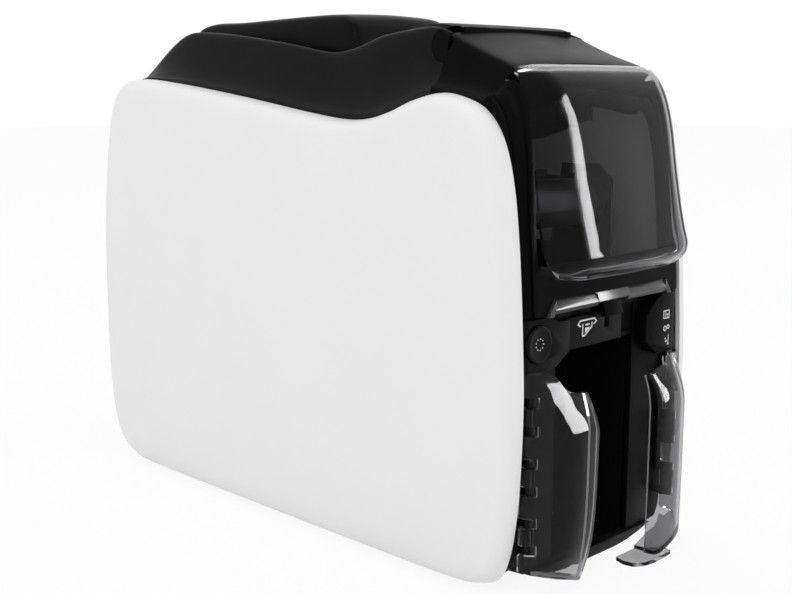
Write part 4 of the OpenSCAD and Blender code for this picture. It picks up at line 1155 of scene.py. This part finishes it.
class PRINTER_OT_front(bpy.types.Operator):
    """Make the bezel, the card slot plate, the two control panels, the button and the signs"""

    bl_idname = "printer.front"
    bl_label = "Front"

    def execute(self, context):
        width = context.scene.printer_sizes.edge_bevel
        for node, share, finish in (
            ("front_bezel", 1, None),
            ("output_bay", 1, "bay_dark"),
            ("card_slot_plate", 1, "slot_satin"),
            ("left_control_panel", 2, None),
            ("right_status_panel", 2, None),
            ("door_hinge_pins", 0.5, "dark_steel"),
        ):
            dressed(node, width * share, finish)
        x, z = BUTTON
        profile = [
            (0.0, -155.9), (1.5, -155.9), (3.2, -155.95), (5.4, -156.1), (6.6, -156.25),
            (7.2, -156.38), (7.7, -156.4), (8.2, -156.3), (8.5, -156.05), (8.6, -155.6),
            (8.6, -150.0), (4.6, -150.0), (4.6, -144.6), (0.0, -144.6),
        ]
        button = lathe("power_button_cap", profile, x, z)
        finish_piece(
            shade(button, 40), FINISH["button_black"], "power_button",
            ("power_button",),
        )
        dome = [(0, -0.12), (0.2, -0.1), (0.32, -0.04), (0.36, 0.06), (0, 0.06)]
        bead = lathe("bead", dome, 0, 0, 12)
        spots = []
        for k in range(9):
            a = 2 * math.pi * k / 9
            spots.append(((x + 2.6 * math.cos(a), -155.93, z + 2.6 * math.sin(a)), (0, a, 0)))
        beads = repeated("power_button_beads", bead, spots, FINISH["icon_white"])
        finish_piece(beads, FINISH["icon_white"], "power_button")

        y = SLOT_Y
        cx, cz = -12.0, 121.9

        def at(points):
            return [(cx + a, cz + b) for a, b in points]

        signs = [
            stroke(
                at([(-5.0, 0.5), (-7.2, 1.8), (-5.6, 3.3), (5.6, 3.3), (7.2, 1.8), (5.0, 0.5)]),
                0.75, y,
            ),
            stroke(
                at([(-3.5, 1.7), (-3.5, -4.1), (-1.9, -4.1), (3.7, -0.4), (3.7, 1.7)]), 0.7, y
            ),
            stroke(at([(-1.5, 1.0), (1.9, 1.0)]), 0.8, y),
            patch(at([(-1.6, -0.4), (1.9, -0.4), (1.9, -0.9), (-1.6, -2.9)]), y),
        ]
        y = STATUS_Y
        cx, cz = 50.3, 119.8
        signs += [
            stroke(at([(-2.4, -1.9), (2.4, -1.9), (2.4, 1.9), (-2.4, 1.9)]), 0.5, y, True),
            stroke(at([(-0.7, -1.9), (-0.7, 1.9)]), 0.4, y),
            stroke(at([(-0.7, 0), (2.4, 0)]), 0.4, y),
            stroke(at([(0.9, -1.9), (0.9, 0)]), 0.35, y),
        ]
        cx, cz = 50.7, 112.9
        signs += [ring(cx - 1.3, cz - 0.2, 1.15, 0.55, y), ring(cx + 1.5, cz + 0.3, 0.95, 0.5, y)]
        cx, cz = 51.6, 106.4
        signs += [
            stroke(at([(1.0, 2.7), (1.0, -1.2)]), 0.45, y),
            patch(at([(1.0, -0.9), (1.9, -2.4), (0.1, -2.4)]), y),
            ring(cx - 0.9, cz - 0.4, 0.42, 0.5, y, 14),
            ring(cx - 1.7, cz + 1.0, 0.25, 0.35, y, 12),
        ]
        ob = joined("front_signs", [shade(o) for o in signs])
        finish_piece(ob, FINISH["icon_white"], "chassis")
        return {"FINISHED"}


class PRINTER_OT_grip(bpy.types.Operator):
    """Make the grip under the window with its release lever"""

    bl_idname = "printer.grip"
    bl_label = "Grip and lever"

    def execute(self, context):
        width = context.scene.printer_sizes.edge_bevel
        dressed("cover_grip", width * 1.5, angle=18)
        dressed("cover_latch", width, "black_gloss")
        return {"FINISHED"}


class PRINTER_OT_foot(bpy.types.Operator):
    """Make the base, the feet, the rear panel with its sockets and the case screws"""

    bl_idname = "printer.foot"
    bl_label = "Base and rear"

    def execute(self, context):
        width = context.scene.printer_sizes.edge_bevel
        for node, share in (
            ("base_frame", 1), ("rubber_feet", 2), ("rear_panel", 1.4), ("rear_sockets", 0.6)
        ):
            dressed(node, width * share)
        crown = [(0, -1.8), (1.6, -1.75), (2.5, -1.5), (2.9, -1.0), (3.0, 0.0), (0, 0)]
        head = lathe("screw", crown, 0, 0, 40)
        slots = [
            box("slot", (-2, -2.6, -0.4), (2, -0.8, 0.4)),
            box("slot", (-0.4, -2.6, -2), (0.4, -0.8, 2)),
        ]
        cut(head, slots)
        low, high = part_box("case_screws")
        y = low[1] / MM
        spots = [
            ((x, y, z), (0, 0.4 * k, math.pi))
            for k, (x, z) in enumerate(SCREWS_AT)
        ]
        screws = repeated("case_screws_dressed", head, spots, FINISH["steel"])
        finish_piece(screws, FINISH["steel"], "chassis", ("case_screws",))
        return {"FINISHED"}


class PRINTER_OT_inside(bpy.types.Operator):
    """Round the edges of the parts behind the window and in the hopper"""

    bl_idname = "printer.inside"
    bl_label = "Inside"

    def execute(self, context):
        width = context.scene.printer_sizes.edge_bevel
        for node in ("hopper_well", "card_weight", "ribbon_frame", "printhead_bracket"):
            # The parts inside take darker finishes than their kind elsewhere, painted shade
            dressed(node, width, INSIDE_SHADE_FINISH.get(node))
        return {"FINISHED"}


class PRINTER_OT_finishes(bpy.types.Operator):
    """Give every remaining solid the finish of its material slot, and the parts inside a darker
    finish as painted shade
    """

    bl_idname = "printer.finishes"
    bl_label = "Finishes of the solids"

    def execute(self, context):
        for name, ob in NODES.items():
            ob.data.materials.clear()
            ob.data.materials.append(FINISH[INSIDE_SHADE_FINISH.get(name, SLOT_OF[name])])
        return {"FINISHED"}


# Stage

CAMERA_AT = (-0.4655, -0.4792, 0.2329)
CAMERA_AZ, CAMERA_EL = -44.93, 9.96
LENS_MM = 1200 / 792 * 36
# Share of plain white in what the camera sees of the floor, the rest keeps the shadow
FLOOR_WHITE = 0.9


def area_light(name, at, target, size, power):
    data = bpy.data.lights.new(name, "AREA")
    data.shape = "RECTANGLE"
    data.size, data.size_y = size
    data.energy = power
    ob = bpy.data.objects.new(name, data)
    ob.location = at
    ob.rotation_euler = (Vector(target) - Vector(at)).to_track_quat("-Z", "Y").to_euler()
    bpy.context.scene.collection.objects.link(ob)
    return ob


def seen_by_eye(nt):
    """One for camera, mirror and see-through rays, nothing for the rays of plain light."""
    path = nt.nodes.new("ShaderNodeLightPath")
    seen = path.outputs["Is Camera Ray"]
    for kind in ("Is Transmission Ray", "Is Glossy Ray"):
        either = nt.nodes.new("ShaderNodeMath")
        either.operation = "MAXIMUM"
        nt.links.new(seen, either.inputs[0])
        nt.links.new(path.outputs[kind], either.inputs[1])
        seen = either.outputs[0]
    return seen


class PRINTER_OT_stage(bpy.types.Operator):
    """Make the floor, the soft studio light and the camera"""

    bl_idname = "printer.stage"
    bl_label = "Stage"

    def execute(self, context):
        scene = context.scene
        scene.view_settings.view_transform = "Standard"
        world = bpy.data.worlds.new("studio")
        scene.world = world
        world.use_nodes = True
        nt = world.node_tree
        background = nt.nodes["Background"]
        background.inputs["Color"].default_value = (1, 1, 1, 1)
        level = nt.nodes.new("ShaderNodeMapRange")
        level.inputs["To Min"].default_value = 0.75
        level.inputs["To Max"].default_value = 1.0
        nt.links.new(seen_by_eye(nt), level.inputs["Value"])
        nt.links.new(level.outputs["Result"], background.inputs["Strength"])

        me = bpy.data.meshes.new("floor")
        s = 6.0
        me.from_pydata([(-s, -s, 0), (s, -s, 0), (s, s, 0), (-s, s, 0)], [], [(0, 1, 2, 3)])
        floor = bpy.data.objects.new("floor", me)
        scene.collection.objects.link(floor)
        mat, fnt, bsdf = node_tree("pale floor")
        bsdf.inputs["Base Color"].default_value = (0.94, 0.94, 0.94, 1)
        bsdf.inputs["Roughness"].default_value = 0.9
        bsdf.inputs["Specular IOR Level"].default_value = 0.1
        share = fnt.nodes.new("ShaderNodeMath")
        share.operation = "MULTIPLY"
        share.inputs[1].default_value = FLOOR_WHITE
        fnt.links.new(seen_by_eye(fnt), share.inputs[0])
        white = fnt.nodes.new("ShaderNodeEmission")
        white.inputs["Color"].default_value = (1, 1, 1, 1)
        mix = fnt.nodes.new("ShaderNodeMixShader")
        fnt.links.new(share.outputs[0], mix.inputs["Fac"])
        fnt.links.new(bsdf.outputs[0], mix.inputs[1])
        fnt.links.new(white.outputs[0], mix.inputs[2])
        fnt.links.new(mix.outputs[0], fnt.nodes["Material Output"].inputs["Surface"])
        me.materials.append(mat)

        area_light("key", (-1.7, -0.5, 1.5), (0, 0, 0.12), (1.4, 1.4), 8)
        # The softbox of the long bright reflection shows in the clear parts and the grip only
        strip = area_light("strip", (0.91, -1.72, 0.76), (-0.04, -0.165, 0.19), (1.14, 1.4), 205)
        strip.visible_diffuse = False
        seen_in = bpy.data.collections.new("strip receivers")
        for ob in scene.objects:
            if ob.name.endswith("_clear") or ob.name == "cover_grip_dressed":
                seen_in.objects.link(ob)
        strip.light_linking.receiver_collection = seen_in
        # The fill of the front, without a reflection of its own
        fill = area_light("fill", (1.1, -1.2, 0.7), (0.03, -0.1, 0.12), (1.2, 1.2), 3.5)
        fill.visible_glossy = False
        area_light("top", (0, 0.2, 2.0), (0, 0, 0), (1.4, 1.4), 5)

        cam = bpy.data.cameras.new("camera")
        cam.lens = LENS_MM
        cam.sensor_width = 36
        ob = bpy.data.objects.new("camera", cam)
        a, e = math.radians(CAMERA_AZ), math.radians(CAMERA_EL)
        back = Vector((math.sin(a) * math.cos(e), -math.cos(a) * math.cos(e), math.sin(e)))
        ob.location = CAMERA_AT
        ob.rotation_euler = (-back).to_track_quat("-Z", "Y").to_euler()
        scene.collection.objects.link(ob)
        scene.camera = ob
        return {"FINISHED"}


STEPS = (
    PRINTER_OT_finishes,
    PRINTER_OT_side_panels,
    PRINTER_OT_housing,
    PRINTER_OT_cover,
    PRINTER_OT_window,
    PRINTER_OT_lid,
    PRINTER_OT_doors,
    PRINTER_OT_front,
    PRINTER_OT_grip,
    PRINTER_OT_foot,
    PRINTER_OT_inside,
    PRINTER_OT_stage,
)


class PRINTER_PT_panel(bpy.types.Panel):
    bl_idname = "PRINTER_PT_panel"
    bl_label = "Card printer"
    bl_space_type = "VIEW_3D"
    bl_region_type = "UI"
    bl_category = "Card printer"

    def draw(self, context):
        for group in (context.scene.printer_sizes, context.scene.printer_colours):
            for key in group.__annotations__:
                self.layout.prop(group, key)
        for step in STEPS:
            self.layout.operator(step.bl_idname)


CLASSES = (PrinterSizes, PrinterColours, *STEPS, PRINTER_PT_panel)


def register():
    for c in CLASSES:
        bpy.utils.register_class(c)
    bpy.types.Scene.printer_sizes = bpy.props.PointerProperty(type=PrinterSizes)
    bpy.types.Scene.printer_colours = bpy.props.PointerProperty(type=PrinterColours)


def unregister():
    del bpy.types.Scene.printer_colours
    del bpy.types.Scene.printer_sizes
    for c in reversed(CLASSES):
        bpy.utils.unregister_class(c)


def main():
    register()
    make_finishes()
    for step in STEPS:
        group, name = step.bl_idname.split(".")
        getattr(getattr(bpy.ops, group), name)()


if __name__ == "__main__":
    main()
